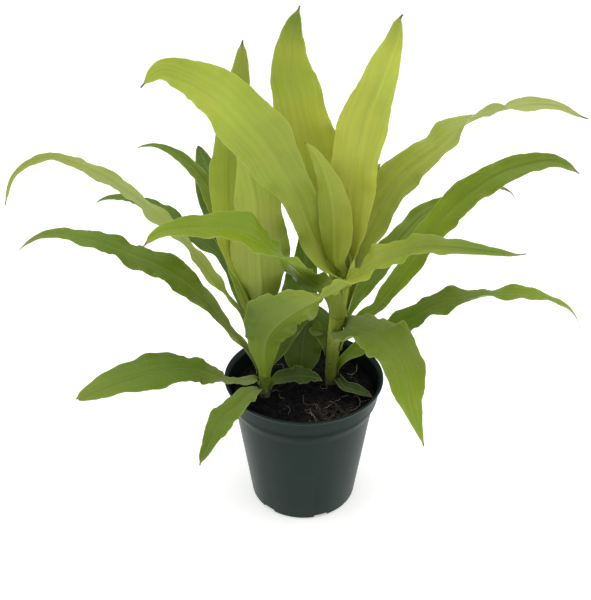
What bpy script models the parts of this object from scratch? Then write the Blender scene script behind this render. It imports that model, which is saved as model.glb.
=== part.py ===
"""Potted dracaena: two leafy shoots rooted in one round nursery pot.

Metres, +Z up. The pot's axis is the Z axis and its flat underside lies at z = 0. The front is -Y.
Leaf routes, widths and waves are written in millimetres and turned into metres where they are read.
"""
import math
import random
from dataclasses import dataclass

import bmesh
import bpy
import numpy as np

MM = 0.001
GAP = 0.0003  # running clearance between two touching pieces
SEED = 3  # sets where each leaf margin's waves start

# Pot: a thin round tub that tapers to its base, with a deep collar and a flared lip.
POT_RIM_RADIUS = 0.0570
POT_HEIGHT = 0.1025
POT_LIP_Z = 0.1012
POT_COLLAR_TOP_RADIUS = 0.0548
POT_COLLAR_TOP_Z = 0.0990
POT_COLLAR_FOOT_RADIUS = 0.0535
POT_COLLAR_FOOT_Z = 0.0870
POT_SHOULDER_RADIUS = 0.0502
POT_SHOULDER_Z = 0.0803
POT_BASE_RADIUS = 0.0392
POT_WALL = 0.0013
POT_FLOOR = 0.0018
POT_RIM_ROUND = 0.0003
POT_BASE_ROUND = 0.0018
POT_BASE_ROUND_STEPS = 3
POT_SIDES = 60
NOTCH_COUNT = 6
NOTCH_WIDTH = 0.0105
NOTCH_HEIGHT = 0.0028
NOTCH_REACH = 0.0065  # how far a drain notch cuts in under the floor
NOTCH_FIRST_ANGLE = math.radians(-131.0)  # from +X, seen from above

# Potting soil: fills the pot to below the rim, lumpy on top, with a plain hole for each stem.
SOIL_TOP_Z = 0.0885
SOIL_LUMP = 0.0016
SOIL_WAVES = ((17.0, 0.4, 0.45), (11.0, 1.9, 0.3), (7.3, 2.7, 0.25))  # (pitch in mm, turn in radians, share)
SOIL_RINGS = 11
SOIL_SIDES = 48
SOIL_CLEARANCE = 2.0 * GAP  # the pot's flat facets and the soil's don't line up
HOLE_LENGTH = 0.060  # of the upright cutter, which ends above the soil

# Stems: (x, y, z) axis points in mm, from the root end up, and (z, radius) in mm. The leafy part is thicker,
# because the clasping leaf bases wrap it there.
STEM_SIDES = 12
STEM_RING_STEP = 4.5
STEM_TIP_SHARE = 0.45  # the tip's last ring, as a share of the radius there
STEM_AXIS_STEP = 2.0  # mm each way, to read the axis's direction
LEFT_AXIS = ((-28, -7, 64), (-28, -7, 100), (-28, -6, 130), (-29, -5, 160))
LEFT_RADII = ((64, 3.6), (88, 3.8), (105, 4.3), (130, 4.4), (150, 3.4), (160, 2.2))
RIGHT_AXIS = ((19.5, 9, 64), (20, 9, 100), (22.5, 9, 135), (26.5, 9, 165), (28.5, 9, 190))
RIGHT_RADII = ((64, 3.8), (88, 4.0), (115, 4.8), (145, 5.8), (170, 4.6), (190, 2.4))

# Leaves: blades of a plain thickness, thinner towards their waved margins.
BLADE_MID_THICK = 1.0
BLADE_EDGE_THICK = 0.65
BLADE_STRIPS = 4  # strips across a blade, even, so that one edge runs along the midrib
STATION_STEP = 7.5  # mm along the midrib
FEWEST_STATIONS = 8
SHEATH_RISE = 4.0  # mm that a base runs up its stem before it turns out
SHEATH_LEAN = 0.25  # mm that it leans away meanwhile
OPENING_RUN = 34.0  # mm along the midrib over which the clasping base opens out flat
TIP_HALF_WIDTH = 0.5
FACET_ALLOWANCE = 0.25  # mm by which a clasping base's flat facets come closer to the stem
WAVES_END = 0.87  # fraction of the length where the margin's waves have died out
WAVE_SWELL = 0.6  # below 1, the waves are near their full height for longer
SHORT_WAVES = 2.3  # short waves for each long one
SHORT_SHARE = 0.55  # their height, as a share of the long waves'
MARGIN_PULL = 0.07  # share of the width by which a wave draws its margin in or lets it out

# Colours (linear RGB) and roughness.
POT_PLASTIC = ("pot_plastic", (0.035, 0.047, 0.045), 0.45)
POTTING_SOIL = ("potting_soil", (0.022, 0.014, 0.009), 0.95)
STEM_GREEN = ("stem_green", (0.16, 0.22, 0.05), 0.55)
LEAF_GREEN = ("leaf_green", (0.18, 0.33, 0.04), 0.42)


@dataclass(frozen=True)
class Leaf:
    """One leaf: where it clasps its stem, its midrib's route and its blade."""

    name: str
    stem: str
    height: float  # mm, where the base starts on the stem
    azimuth: float  # degrees from +X, the side of the stem that the base clasps
    route: tuple  # mm, midrib points after the base
    half: float  # mm, half the greatest width
    peak: float  # fraction of the length where the blade is widest
    fold: float  # degrees that each half rises from flat
    face: tuple  # (fraction, x, y, z): where the upper face looks; it starts towards the stem
    wave: float = 2.0  # mm, height of the margin's waves
    waves: float = 4.0  # waves along the blade
    base: float = 3.9  # mm, half the width at the base
    slim: float = 1.0  # above 1, the blade stays narrow for longer from its base
    tip: float = 0.9  # below 1, the blade stays wide for longer towards its tip


LEAVES = (
    Leaf("leaf_left_01", "left", 92.5, 245,
         ((-35, -20, 102), (-44, -38, 105), (-54, -53, 103), (-61, -66, 96), (-69, -76, 83)),
         half=9.6, peak=0.5, fold=14, face=((0.3, 0.0, -0.1, 1.0),), wave=1.6, waves=2.5),
    Leaf("leaf_left_02", "left", 93.5, 8,
         ((-14, -4, 102), (-4, -5, 104), (6, -5, 103), (14, -4, 100)),
         half=8.5, peak=0.5, fold=14, face=((0.3, 0.0, -0.2, 1.0),), wave=1.6, waves=3.5),
    Leaf("leaf_left_03", "left", 99.5, 196,
         ((-46, -14, 105), (-57, -19, 112), (-66, -23, 119), (-77, -28, 126), (-99, -36, 129),
          (-120, -42, 127), (-135, -45, 122), (-151, -47, 115)),
         half=14.5, peak=0.56, fold=8, face=((0.25, 0.0, -0.35, 1.0),), wave=1.8, waves=3.5, base=3.1,
         slim=1.7, tip=0.6),
    Leaf("leaf_left_04", "left", 106.5, 165,
         ((-42, 0, 126), (-57, 5, 144), (-69, 9, 158), (-83, 13, 171), (-101, 17, 181), (-120, 20, 188),
          (-139, 23, 195), (-159, 25, 200), (-180, 27, 199), (-200, 28, 188)),
         half=10.8, peak=0.45, fold=20, face=((0.3, 0.0, -0.6, 0.8), (0.7, 0.0, -0.3, 1.0)), wave=2.6,
         waves=5.0, base=3.1, slim=3.2),
    Leaf("leaf_left_05", "left", 107.0, 278,
         ((-27, -15, 122), (-27, -17, 133), (-25, -20, 145), (-20, -23, 155), (-12, -26, 165),
          (-1, -28, 174), (10, -31, 182), (22, -35, 191), (32, -38, 201), (42, -42, 211), (52, -46, 219),
          (63, -51, 226), (74, -56, 230), (86, -62, 232), (97, -67, 233), (107, -72, 234),
          (119, -76, 234)),
         half=15.5, peak=0.25, fold=30,
         face=((0.28, 0.0, 1.0, 0.3), (0.46, 0.0, 0.35, 1.0), (0.62, 0.0, -0.35, 1.0)), wave=2.4, waves=8.0,
         base=4.6, slim=0.8, tip=0.8),
    Leaf("leaf_left_06", "left", 107.0, 55,
         ((-18, 6, 120), (-11, 17, 134), (-4, 29, 149), (0, 42, 165), (0, 50, 177), (-2, 56, 189)),
         half=14.0, peak=0.5, fold=16, face=((0.3, -0.3, -0.9, 0.3),), wave=1.8, waves=3.0),
    Leaf("leaf_left_07", "left", 114.0, 205,
         ((-37, -11, 145), (-45, -12, 164), (-59, -13, 185), (-70, -13, 204), (-85, -14, 223),
          (-101, -15, 240), (-117, -16, 254), (-134, -19, 266), (-153, -22, 272), (-171, -26, 264),
          (-181, -29, 245)),
         half=7.2, peak=0.62, fold=18, face=((0.3, 0.0, -0.2, 1.0),), wave=1.6, waves=5.5, base=3.6,
         slim=1.4),
    Leaf("leaf_left_08", "left", 120.0, 128,
         ((-39, 7, 139), (-45, 18, 153), (-51, 29, 166), (-59, 38, 177), (-71, 46, 184), (-84, 55, 189),
          (-98, 66, 195), (-113, 74, 201), (-132, 82, 204), (-147, 88, 202), (-161, 93, 195)),
         half=8.0, peak=0.62, fold=20, face=((0.3, 0.0, -0.2, 1.0),), wave=1.6, waves=4.5, base=3.4,
         slim=3.0),
    Leaf("leaf_left_09", "left", 134.0, 155,
         ((-42, 8, 161), (-50, 24, 188), (-59, 38, 211), (-67, 47, 226), (-78, 54, 239), (-91, 60, 247),
          (-104, 64, 251), (-117, 67, 249)),
         half=6.6, peak=0.5, fold=20, face=((0.3, 0.0, -0.4, 1.0),), wave=1.6, waves=4.0),
    Leaf("leaf_left_10", "left", 127.0, 58,
         ((-31, 19, 146), (-45, 45, 168), (-58, 69, 194), (-68, 86, 217), (-74, 98, 228),
          (-79, 106, 237)),
         half=13.0, peak=0.55, fold=20, face=((0.3, 0.0, -0.8, 0.6),), wave=1.6, waves=3.0, tip=0.75),
    Leaf("leaf_left_11", "left", 140.0, 165,
         ((-37, -2, 172), (-43, 3, 192), (-48, 9, 213), (-49, 14, 237), (-48, 18, 260), (-44, 20, 288),
          (-40, 22, 313), (-38, 22, 331)),
         half=13.5, peak=0.52, fold=22, face=((0.35, 0.3, -1.0, 0.1),), wave=2.0, waves=4.0, tip=0.75),
    Leaf("leaf_left_12", "left", 147.0, 252,
         ((-28, -10, 174), (-29, -6, 198), (-30, -4, 223), (-32, -3, 244), (-36, -2, 260), (-42, 0, 274)),
         half=19.0, peak=0.46, fold=26, face=((0.3, 0.1, 1.0, 0.0),), wave=2.2, waves=3.0, base=5.0),
    Leaf("leaf_right_01", "right", 91.5, -35,
         ((29, -3, 94), (35, -8, 95), (42, -11, 94), (50, -13, 91.5)),
         half=5.4, peak=0.55, fold=16, face=((0.3, 0.0, -0.1, 1.0),), wave=0.6, waves=1.5, base=3.0),
    Leaf("leaf_right_02", "right", 97.0, 14,
         ((29, 10, 108), (38, 12, 116), (49, 12, 123), (64, 8, 136), (77, 4, 148), (91, 0, 160),
          (108, -4, 167), (123, -8, 172), (140, -12, 175), (156, -15, 174), (173, -18, 168),
          (185, -20, 154)),
         half=11.5, peak=0.5, fold=14,
         face=((0.3, 0.0, -0.6, 1.0), (0.65, 0.0, 0.1, 1.0), (1.0, 0.0, 0.0, 1.0)), wave=2.6, waves=4.5),
    Leaf("leaf_right_03", "right", 110.0, 140,
         ((14, 17, 126), (10, 22, 134), (5, 24, 133), (1, 22, 125), (-1, 18, 114), (-2, 14, 103),
          (-3, 10, 95)),
         half=15.5, peak=0.62, fold=10, face=((0.25, 0.0, -0.5, 1.0),), wave=1.6, waves=2.5, tip=0.45),
    Leaf("leaf_right_04", "right", 118.0, -2,
         ((33, 12, 134), (41, 13, 142), (52, 15, 150), (63, 18, 164), (75, 21, 183), (86, 24, 201),
          (98, 26, 217), (113, 28, 231), (129, 30, 242), (147, 32, 248), (166, 34, 250), (186, 36, 241)),
         half=11.0, peak=0.6, fold=34, face=((0.3, -0.2, -0.7, 0.7),), wave=2.2, waves=5.5),
    Leaf("leaf_right_05", "right", 125.0, 78,
         ((32, 26, 143), (40, 35, 151), (48, 43, 159), (57, 50, 167), (67, 56, 177), (77, 64, 186),
          (89, 72, 195), (105, 80, 200), (127, 88, 207), (145, 93, 209), (162, 97, 202)),
         half=10.0, peak=0.35, fold=22, face=((0.3, -0.2, -0.6, 0.8),), wave=1.8, waves=4.5, tip=1.3),
    Leaf("leaf_right_06", "right", 133.0, -48,
         ((30, -8, 145), (38, -20, 152), (47, -33, 156), (55, -46, 156), (60, -57, 151), (63, -65, 143),
          (66, -72, 131), (70, -78, 118), (75, -82, 104)),
         half=18.2, peak=0.36, fold=12, face=((0.3, 0.0, -0.2, 1.0),), wave=2.4, waves=4.0, base=8.0,
         slim=0.7, tip=1.25),
    Leaf("leaf_right_07", "right", 143.0, 100,
         ((29, 24, 164), (33, 38, 180), (39, 52, 197), (46, 66, 213), (52, 76, 226), (56, 82, 234)),
         half=8.0, peak=0.5, fold=22, face=((0.3, -0.2, -0.6, 0.8),), wave=1.6, waves=3.0),
    Leaf("leaf_right_08", "right", 146.0, 225,
         ((15, -1, 170), (6, -10, 181), (-4, -19, 195), (-13, -28, 209), (-23, -34, 220), (-33, -39, 230),
          (-46, -45, 237), (-58, -51, 240), (-72, -57, 242), (-83, -63, 242), (-92, -67, 236)),
         half=14.0, peak=0.45, fold=28,
         face=((0.2, 0.1, 0.7, 0.7), (0.45, 0.0, -0.1, 1.0), (0.65, 0.0, -0.6, 1.0)), wave=2.0, waves=4.5,
         base=7.0, slim=0.5, tip=0.8),
    Leaf("leaf_right_09", "right", 150.0, 15,
         ((36, 15, 181), (38, 16, 195), (45, 15, 214), (53, 13, 234), (66, 11, 253), (82, 8, 268),
          (96, 5, 283), (112, 2, 292), (129, -1, 297), (148, -4, 298), (168, -6, 290)),
         half=12.8, peak=0.42, fold=24,
         face=((0.35, -0.3, -0.8, 0.5), (0.6, 0.0, -0.5, 0.9), (0.74, 0.0, 0.45, 0.9),
               (0.86, 0.0, -0.5, 0.9)), wave=2.2, waves=5.0, base=6.0, slim=0.65),
    Leaf("leaf_right_10", "right", 156.0, 214,
         ((17, 4, 182), (11, 1, 199), (3, -4, 220), (-4, -9, 240), (-12, -15, 258), (-22, -22, 277),
          (-33, -28, 293), (-43, -34, 307), (-54, -41, 318), (-65, -47, 326), (-76, -51, 330),
          (-86, -54, 324)),
         half=18.0, peak=0.64, fold=20, face=((0.35, 0.1, -1.0, 0.3), (0.8, 0.0, -1.0, 0.6)), wave=2.4,
         waves=4.5, base=8.0, slim=3.2, tip=0.85),
    Leaf("leaf_right_11", "right", 171.0, -25,
         ((33, 3, 190), (31, 3, 208), (30, 3, 228), (30, 2, 252), (33, 1, 273), (37, 1, 292),
          (42, 1, 306), (47, 0, 323), (51, 0, 336), (53, 0, 350)),
         half=16.0, peak=0.52, fold=24, face=((0.35, -0.2, -1.0, 0.2),), wave=2.0, waves=4.0, base=6.0,
         slim=0.65, tip=0.85),
    Leaf("leaf_right_12", "right", 164.0, 112,
         ((23, 17, 184), (17, 19, 199), (12, 20, 217), (8, 21, 236), (4, 21, 256), (0, 21, 275),
          (-4, 21, 292), (-8, 20, 311), (-9, 18, 327), (-7, 16, 341), (-3, 14, 352)),
         half=18.5, peak=0.56, fold=22, face=((0.35, 0.0, -1.0, 0.1),), wave=2.2, waves=4.5, base=6.0,
         slim=0.6, tip=0.92),
    Leaf("leaf_right_13", "right", 178.0, 240,
         ((20, -2, 193), (18.5, -6, 207), (18, -9, 223), (16, -11, 242), (11, -11, 260), (6, -10, 270),
          (0, -9, 278)),
         half=9.0, peak=0.5, fold=14, face=((0.35, 0.2, 1.0, 0.2),), wave=1.0, waves=2.0, base=4.6, slim=0.8),
)


def smooth(value):
    """Ease from 0 to 1."""
    value = min(max(value, 0.0), 1.0)
    return value * value * (3.0 - 2.0 * value)


def unit(vector):
    """The vector at length 1."""
    return vector / np.linalg.norm(vector)


def eased(stops, fraction):
    """Direction at a fraction of the length, eased between (fraction, direction) stops."""
    for (f0, v0), (f1, v1) in zip(stops, stops[1:]):
        if fraction <= f1:
            return v0 + (v1 - v0) * smooth((fraction - f0) / (f1 - f0))
    return stops[-1][1]


def spline(points, per_span=24):
    """A dense smooth curve through the points: cubic pieces with averaged slopes."""
    p = np.array(points, float)
    chord = np.linalg.norm(np.diff(p, axis=0), axis=1) ** 0.5
    knots = np.concatenate([[0.0], np.cumsum(chord)])
    slopes = np.gradient(p, knots, axis=0)
    curve = []
    for i, span in enumerate(chord):
        for k in range(per_span):
            u = k / per_span
            h00 = 2 * u ** 3 - 3 * u ** 2 + 1
            h10 = u ** 3 - 2 * u ** 2 + u
            h01 = 3 * u ** 2 - 2 * u ** 3
            h11 = u ** 3 - u ** 2
            curve.append(h00 * p[i] + h10 * span * slopes[i] + h01 * p[i + 1] + h11 * span * slopes[i + 1])
    curve.append(p[-1])
    return np.array(curve)


def evenly(curve, count):
    """Points at equal steps of arc length along a dense curve."""
    run = np.concatenate([[0.0], np.cumsum(np.linalg.norm(np.diff(curve, axis=0), axis=1))])
    stops = np.linspace(0.0, run[-1], count)
    return np.stack([np.interp(stops, run, curve[:, k]) for k in range(3)], axis=1), run[-1]


class Stem:
    """A stem's axis and radius, by height in mm."""

    def __init__(self, axis, radii):
        self.curve = spline(axis)
        self.radii = np.array(radii, float)
        self.bottom = self.curve[0, 2]
        self.top = self.curve[-1, 2]

    def centre(self, z):
        """Axis point at a height."""
        return np.array([np.interp(z, self.curve[:, 2], self.curve[:, k]) for k in range(2)] + [z])

    def direction(self, z):
        """Unit direction of the axis at a height."""
        return unit(self.centre(z + STEM_AXIS_STEP) - self.centre(z - STEM_AXIS_STEP))

    def radius(self, z):
        """Radius at a height."""
        return float(np.interp(z, self.radii[:, 0], self.radii[:, 1]))


STEMS = {"left": Stem(LEFT_AXIS, LEFT_RADII), "right": Stem(RIGHT_AXIS, RIGHT_RADII)}


def leaf_midrib(leaf):
    """Midrib stations in mm, with tangents, lateral and upper-face directions, and the clasping radius."""
    stem = STEMS[leaf.stem]
    axis = stem.direction(leaf.height)
    side = np.array([math.cos(math.radians(leaf.azimuth)), math.sin(math.radians(leaf.azimuth)), 0.0])
    side = unit(side - axis * side.dot(axis))
    clasp = stem.radius(leaf.height) + GAP / MM + FACET_ALLOWANCE + BLADE_MID_THICK / 2
    base = stem.centre(leaf.height) + side * clasp
    rise = base + axis * SHEATH_RISE + side * SHEATH_LEAN
    curve = spline((base, rise) + leaf.route)
    length = np.linalg.norm(np.diff(curve, axis=0), axis=1).sum()
    count = max(FEWEST_STATIONS, round(length / STATION_STEP) + 1)
    centres, length = evenly(curve, count)
    tangents = np.gradient(centres, axis=0)
    tangents /= np.linalg.norm(tangents, axis=1)[:, None]
    stops = [(0.0, -side)] + [(stop[0], unit(np.array(stop[1:]))) for stop in leaf.face]
    ups = []
    for i, tangent in enumerate(tangents):
        up = eased(stops, i / (count - 1))
        ups.append(unit(up - tangent * up.dot(tangent)))
    ups = np.array(ups)
    laterals = np.cross(tangents, ups)
    return centres, laterals, ups, length, clasp


def half_width(leaf, fraction):
    """Half the blade's width at a fraction of its length."""
    if fraction < leaf.peak:
        return leaf.base + (leaf.half - leaf.base) * smooth(fraction / leaf.peak) ** leaf.slim
    taper = math.cos(0.5 * math.pi * (fraction - leaf.peak) / (1.0 - leaf.peak))
    return TIP_HALF_WIDTH + (leaf.half - TIP_HALF_WIDTH) * max(taper, 0.0) ** leaf.tip


def margin_swell(fraction):
    """Height of the margin's waves at a fraction of the length, as a share of their greatest."""
    if not 0.0 < fraction < WAVES_END:
        return 0.0
    return math.sin(math.pi * fraction / WAVES_END) ** WAVE_SWELL


def margin_wave(leaf, fraction, phase):
    """How far a margin is lifted, in shares of the leaf's wave, and drawn out, in shares of the width."""
    turn = 2.0 * math.pi * leaf.waves * fraction + phase
    lift = math.sin(turn) + SHORT_SHARE * math.sin(SHORT_WAVES * turn + phase)
    return lift * margin_swell(fraction), MARGIN_PULL * math.cos(turn) * margin_swell(fraction)


def leaf_surface(leaf, phases):
    """Middle surface of a blade: an array of stations by points across, in mm."""
    centres, laterals, ups, length, clasp = leaf_midrib(leaf)
    count = len(centres)
    rows = []
    for i in range(count):
        f = i / (count - 1)
        width = half_width(leaf, f)
        opened = smooth(f * length / OPENING_RUN)
        bend = (leaf.base / clasp) * (1.0 - opened) + math.radians(leaf.fold) * opened
        radius = width / bend
        row = []
        for j in range(BLADE_STRIPS + 1):
            s = 2.0 * j / BLADE_STRIPS - 1.0
            wave, pull = margin_wave(leaf, f, phases[0 if s < 0 else 1])
            lift = leaf.wave * wave * opened * s * s
            drawn = radius * (1.0 + pull * opened)
            row.append(centres[i] + laterals[i] * drawn * math.sin(bend * s)
                       + ups[i] * (drawn * (1.0 - math.cos(bend * s)) + lift))
        rows.append(row)
    return np.array(rows)


def new_object(name, bm, material, smooth_angle=40.0):
    """Put a finished bmesh into the scene as a named, smooth-shaded object."""
    bmesh.ops.recalc_face_normals(bm, faces=bm.faces)
    mesh = bpy.data.meshes.new(name)
    bm.to_mesh(mesh)
    bm.free()
    mesh.shade_smooth()
    mesh.set_sharp_from_angle(angle=math.radians(smooth_angle))
    mesh.materials.append(material)
    obj = bpy.data.objects.new(name, mesh)
    bpy.context.scene.collection.objects.link(obj)
    return obj


def plain_material(name, colour, roughness):
    """A Principled material of one colour, not metallic."""
    material = bpy.data.materials.new(name)
    material.use_nodes = True
    shader = material.node_tree.nodes["Principled BSDF"]
    shader.inputs["Base Color"].default_value = (*colour, 1.0)
    shader.inputs["Roughness"].default_value = roughness
    shader.inputs["Metallic"].default_value = 0.0
    material.diffuse_color = (*colour, 1.0)
    return material


def build_leaf(leaf, phases, material):
    """A closed blade whose two faces are split into triangles alike."""
    surface = leaf_surface(leaf, phases) * MM
    along = np.gradient(surface, axis=0)
    across = np.gradient(surface, axis=1)
    normals = np.cross(along, across)
    normals /= np.linalg.norm(normals, axis=2)[:, :, None]
    count, points = surface.shape[:2]
    bm = bmesh.new()
    faces = []
    for sign in (1.0, -1.0):
        grid = []
        for i in range(count):
            row = []
            for j in range(points):
                s = abs(2.0 * j / BLADE_STRIPS - 1.0)
                thick = (BLADE_MID_THICK + (BLADE_EDGE_THICK - BLADE_MID_THICK) * s * s) * MM
                row.append(bm.verts.new(surface[i, j] + normals[i, j] * sign * thick / 2))
            grid.append(row)
        faces.append(grid)
    upper, lower = faces
    for i in range(count - 1):
        for j in range(points - 1):
            for grid in faces:
                a, b, c, d = grid[i][j], grid[i + 1][j], grid[i + 1][j + 1], grid[i][j + 1]
                bm.faces.new((a, b, c))
                bm.faces.new((a, c, d))
        for j in (0, points - 1):
            a, b, c, d = upper[i][j], upper[i + 1][j], lower[i + 1][j], lower[i][j]
            bm.faces.new((a, b, c))
            bm.faces.new((a, c, d))
    for i in (0, count - 1):
        for j in range(points - 1):
            a, b, c, d = upper[i][j], upper[i][j + 1], lower[i][j + 1], lower[i][j]
            bm.faces.new((a, b, c))
            bm.faces.new((a, c, d))
    return new_object(leaf.name, bm, material, 60.0)


def build_stem(name, stem, material):
    """A stem as a tube from its root end to its rounded tip."""
    heights = list(np.arange(stem.bottom, stem.top, STEM_RING_STEP)) + [stem.top]
    bm = bmesh.new()
    rings = []
    for k, z in enumerate(heights):
        centre = stem.centre(z)
        axis = stem.direction(min(max(z, stem.bottom + STEM_AXIS_STEP), stem.top - STEM_AXIS_STEP))
        first = unit(np.cross(axis, (0.0, 1.0, 0.0)))
        second = np.cross(axis, first)
        radius = stem.radius(z)
        if k == len(heights) - 1:
            radius *= STEM_TIP_SHARE
        turns = [2.0 * math.pi * n / STEM_SIDES for n in range(STEM_SIDES)]
        rings.append([bm.verts.new((centre + (first * math.cos(a) + second * math.sin(a)) * radius) * MM)
                      for a in turns])
    for low, high in zip(rings, rings[1:]):
        for n in range(STEM_SIDES):
            m = (n + 1) % STEM_SIDES
            bm.faces.new((low[n], low[m], high[m], high[n]))
    bm.faces.new(rings[0])
    bm.faces.new(rings[-1])
    return new_object(name, bm, material)


def turned(name, outline, sides, material):
    """A solid of revolution from a closed (radius, z) outline that starts and ends on the axis."""
    bm = bmesh.new()
    verts = [bm.verts.new((r, 0.0, z)) for r, z in outline]
    edges = [bm.edges.new((a, b)) for a, b in zip(verts, verts[1:])]
    bmesh.ops.spin(bm, geom=verts + edges, cent=(0, 0, 0), axis=(0, 0, 1), angle=2.0 * math.pi,
                   steps=sides, use_merge=True)
    bmesh.ops.remove_doubles(bm, verts=bm.verts, dist=0.00001)
    return new_object(name, bm, material, 30.0)


def boolean_cut(target, cutters):
    """Cut the cutters from the target, apply the cut and remove the cutters."""
    for cutter in cutters:
        cutter.hide_render = True
        cutter.display_type = "WIRE"
        modifier = target.modifiers.new("cut", "BOOLEAN")
        modifier.operation = "DIFFERENCE"
        modifier.object = cutter
    depsgraph = bpy.context.evaluated_depsgraph_get()
    finished = bpy.data.meshes.new_from_object(target.evaluated_get(depsgraph))
    target.modifiers.clear()
    target.data = finished
    for cutter in cutters:
        bpy.data.objects.remove(cutter)


def box(name, low, high, material):
    """A box between two corners."""
    bm = bmesh.new()
    bmesh.ops.create_cube(bm, size=1.0)
    size = np.subtract(high, low)
    middle = np.add(high, low) / 2.0
    for vert in bm.verts:
        vert.co = np.array(vert.co) * size + middle
    return new_object(name, bm, material)


def pot_outline():
    """Half the pot's section, from the underside's centre round the rim to the floor's centre."""
    outline = [(0.0, 0.0)]
    corner = POT_BASE_RADIUS - POT_BASE_ROUND
    for k in range(POT_BASE_ROUND_STEPS + 1):
        angle = 0.5 * math.pi * k / POT_BASE_ROUND_STEPS
        outline.append((corner + POT_BASE_ROUND * math.sin(angle),
                        POT_BASE_ROUND * (1.0 - math.cos(angle))))
    outline.append((POT_SHOULDER_RADIUS, POT_SHOULDER_Z))
    outline.append((POT_COLLAR_FOOT_RADIUS, POT_COLLAR_FOOT_Z))
    outline.append((POT_COLLAR_TOP_RADIUS, POT_COLLAR_TOP_Z))
    outline.append((POT_RIM_RADIUS, POT_LIP_Z))
    outline.append((POT_RIM_RADIUS, POT_HEIGHT - POT_RIM_ROUND))
    outline.append((POT_RIM_RADIUS - POT_RIM_ROUND, POT_HEIGHT))
    outline.append((POT_RIM_RADIUS - POT_WALL + POT_RIM_ROUND, POT_HEIGHT))
    outline.append((POT_RIM_RADIUS - POT_WALL, POT_HEIGHT - POT_RIM_ROUND))
    for radius, z in reversed(inner_wall()):
        outline.append((radius, z))
    outline.append((0.0, POT_FLOOR))
    return outline


def inner_wall():
    """(radius, z) points up the pot's inside, from the floor to the top of the collar."""
    return [(POT_BASE_RADIUS - POT_WALL, POT_FLOOR),
            (POT_SHOULDER_RADIUS - POT_WALL, POT_SHOULDER_Z + POT_WALL / 2),
            (POT_COLLAR_FOOT_RADIUS - POT_WALL, POT_COLLAR_FOOT_Z + POT_WALL / 2),
            (POT_COLLAR_TOP_RADIUS - POT_WALL, POT_COLLAR_TOP_Z + POT_WALL / 2)]


def inner_radius(z):
    """Radius of the pot's inside at a height."""
    wall = inner_wall()
    return float(np.interp(z, [point[1] for point in wall], [point[0] for point in wall]))


def build_pot(material):
    """The pot, with drain notches cut through its bottom corner."""
    pot = turned("pot", pot_outline(), POT_SIDES, material)
    cutters = []
    for k in range(NOTCH_COUNT):
        cutter = box("notch_cutter", (POT_BASE_RADIUS - NOTCH_REACH, -NOTCH_WIDTH / 2, -NOTCH_HEIGHT),
                     (POT_BASE_RADIUS + NOTCH_REACH, NOTCH_WIDTH / 2, NOTCH_HEIGHT), material)
        cutter.rotation_euler.z = NOTCH_FIRST_ANGLE + 2.0 * math.pi * k / NOTCH_COUNT
        cutters.append(cutter)
    boolean_cut(pot, cutters)
    pot.data.shade_smooth()
    pot.data.set_sharp_from_angle(angle=math.radians(30.0))
    return pot


def soil_lump(x, y):
    """Height of the soil's relief at a place, from a few crossed waves."""
    relief = 0.0
    for pitch, turn, share in SOIL_WAVES:
        across = (x * math.cos(turn) + y * math.sin(turn)) / (pitch * MM)
        along = (y * math.cos(turn) - x * math.sin(turn)) / (pitch * MM)
        relief += share * math.sin(2.0 * math.pi * across) * math.cos(2.0 * math.pi * along + turn)
    return relief * SOIL_LUMP


def soil_ring(radius, height_at):
    """One ring of soil points, with its height read at each place."""
    ring = []
    for n in range(SOIL_SIDES):
        angle = 2.0 * math.pi * n / SOIL_SIDES
        x = radius * math.cos(angle)
        y = radius * math.sin(angle)
        ring.append((x, y, height_at(x, y)))
    return ring


def stem_hole_cutter(stem, material):
    """An upright round bar with room for the stem, from the stem's root end to above the soil."""
    exit_z = (SOIL_TOP_Z + SOIL_LUMP) / MM
    centre = stem.centre((stem.bottom + exit_z) / 2) * MM
    radius = stem.radius(exit_z) * MM + SOIL_CLEARANCE
    bm = bmesh.new()
    bmesh.ops.create_cone(bm, cap_ends=True, segments=2 * STEM_SIDES, radius1=radius, radius2=radius,
                          depth=HOLE_LENGTH)
    middle = stem.bottom * MM - GAP + HOLE_LENGTH / 2
    bmesh.ops.translate(bm, verts=bm.verts, vec=(centre[0], centre[1], middle))
    return new_object("stem_hole_cutter", bm, material)


def build_soil(material):
    """The soil: follows the pot's inside, lumpy on top, with a hole for each stem."""
    floor = POT_FLOOR + GAP
    shoulder = POT_SHOULDER_Z + POT_WALL
    rings = [soil_ring(inner_radius(floor) - SOIL_CLEARANCE, lambda x, y: floor),
             soil_ring(inner_radius(POT_SHOULDER_Z) - SOIL_CLEARANCE, lambda x, y: shoulder)]
    edge = inner_radius(SOIL_TOP_Z - SOIL_LUMP) - SOIL_CLEARANCE
    for k in range(SOIL_RINGS):
        rings.append(soil_ring(edge * (1.0 - k / SOIL_RINGS), lambda x, y: SOIL_TOP_Z + soil_lump(x, y)))
    bm = bmesh.new()
    rings = [[bm.verts.new(point) for point in ring] for ring in rings]
    for low, high in zip(rings, rings[1:]):
        for n in range(SOIL_SIDES):
            m = (n + 1) % SOIL_SIDES
            bm.faces.new((low[n], low[m], high[m]))
            bm.faces.new((low[n], high[m], high[n]))
    for ring, z in ((rings[0], floor), (rings[-1], SOIL_TOP_Z + soil_lump(0.0, 0.0))):
        hub = bm.verts.new((0.0, 0.0, z))
        for n in range(SOIL_SIDES):
            bm.faces.new((ring[n], ring[(n + 1) % SOIL_SIDES], hub))
    soil = new_object("soil", bm, material, 50.0)
    boolean_cut(soil, [stem_hole_cutter(stem, material) for stem in STEMS.values()])
    return soil


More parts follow.
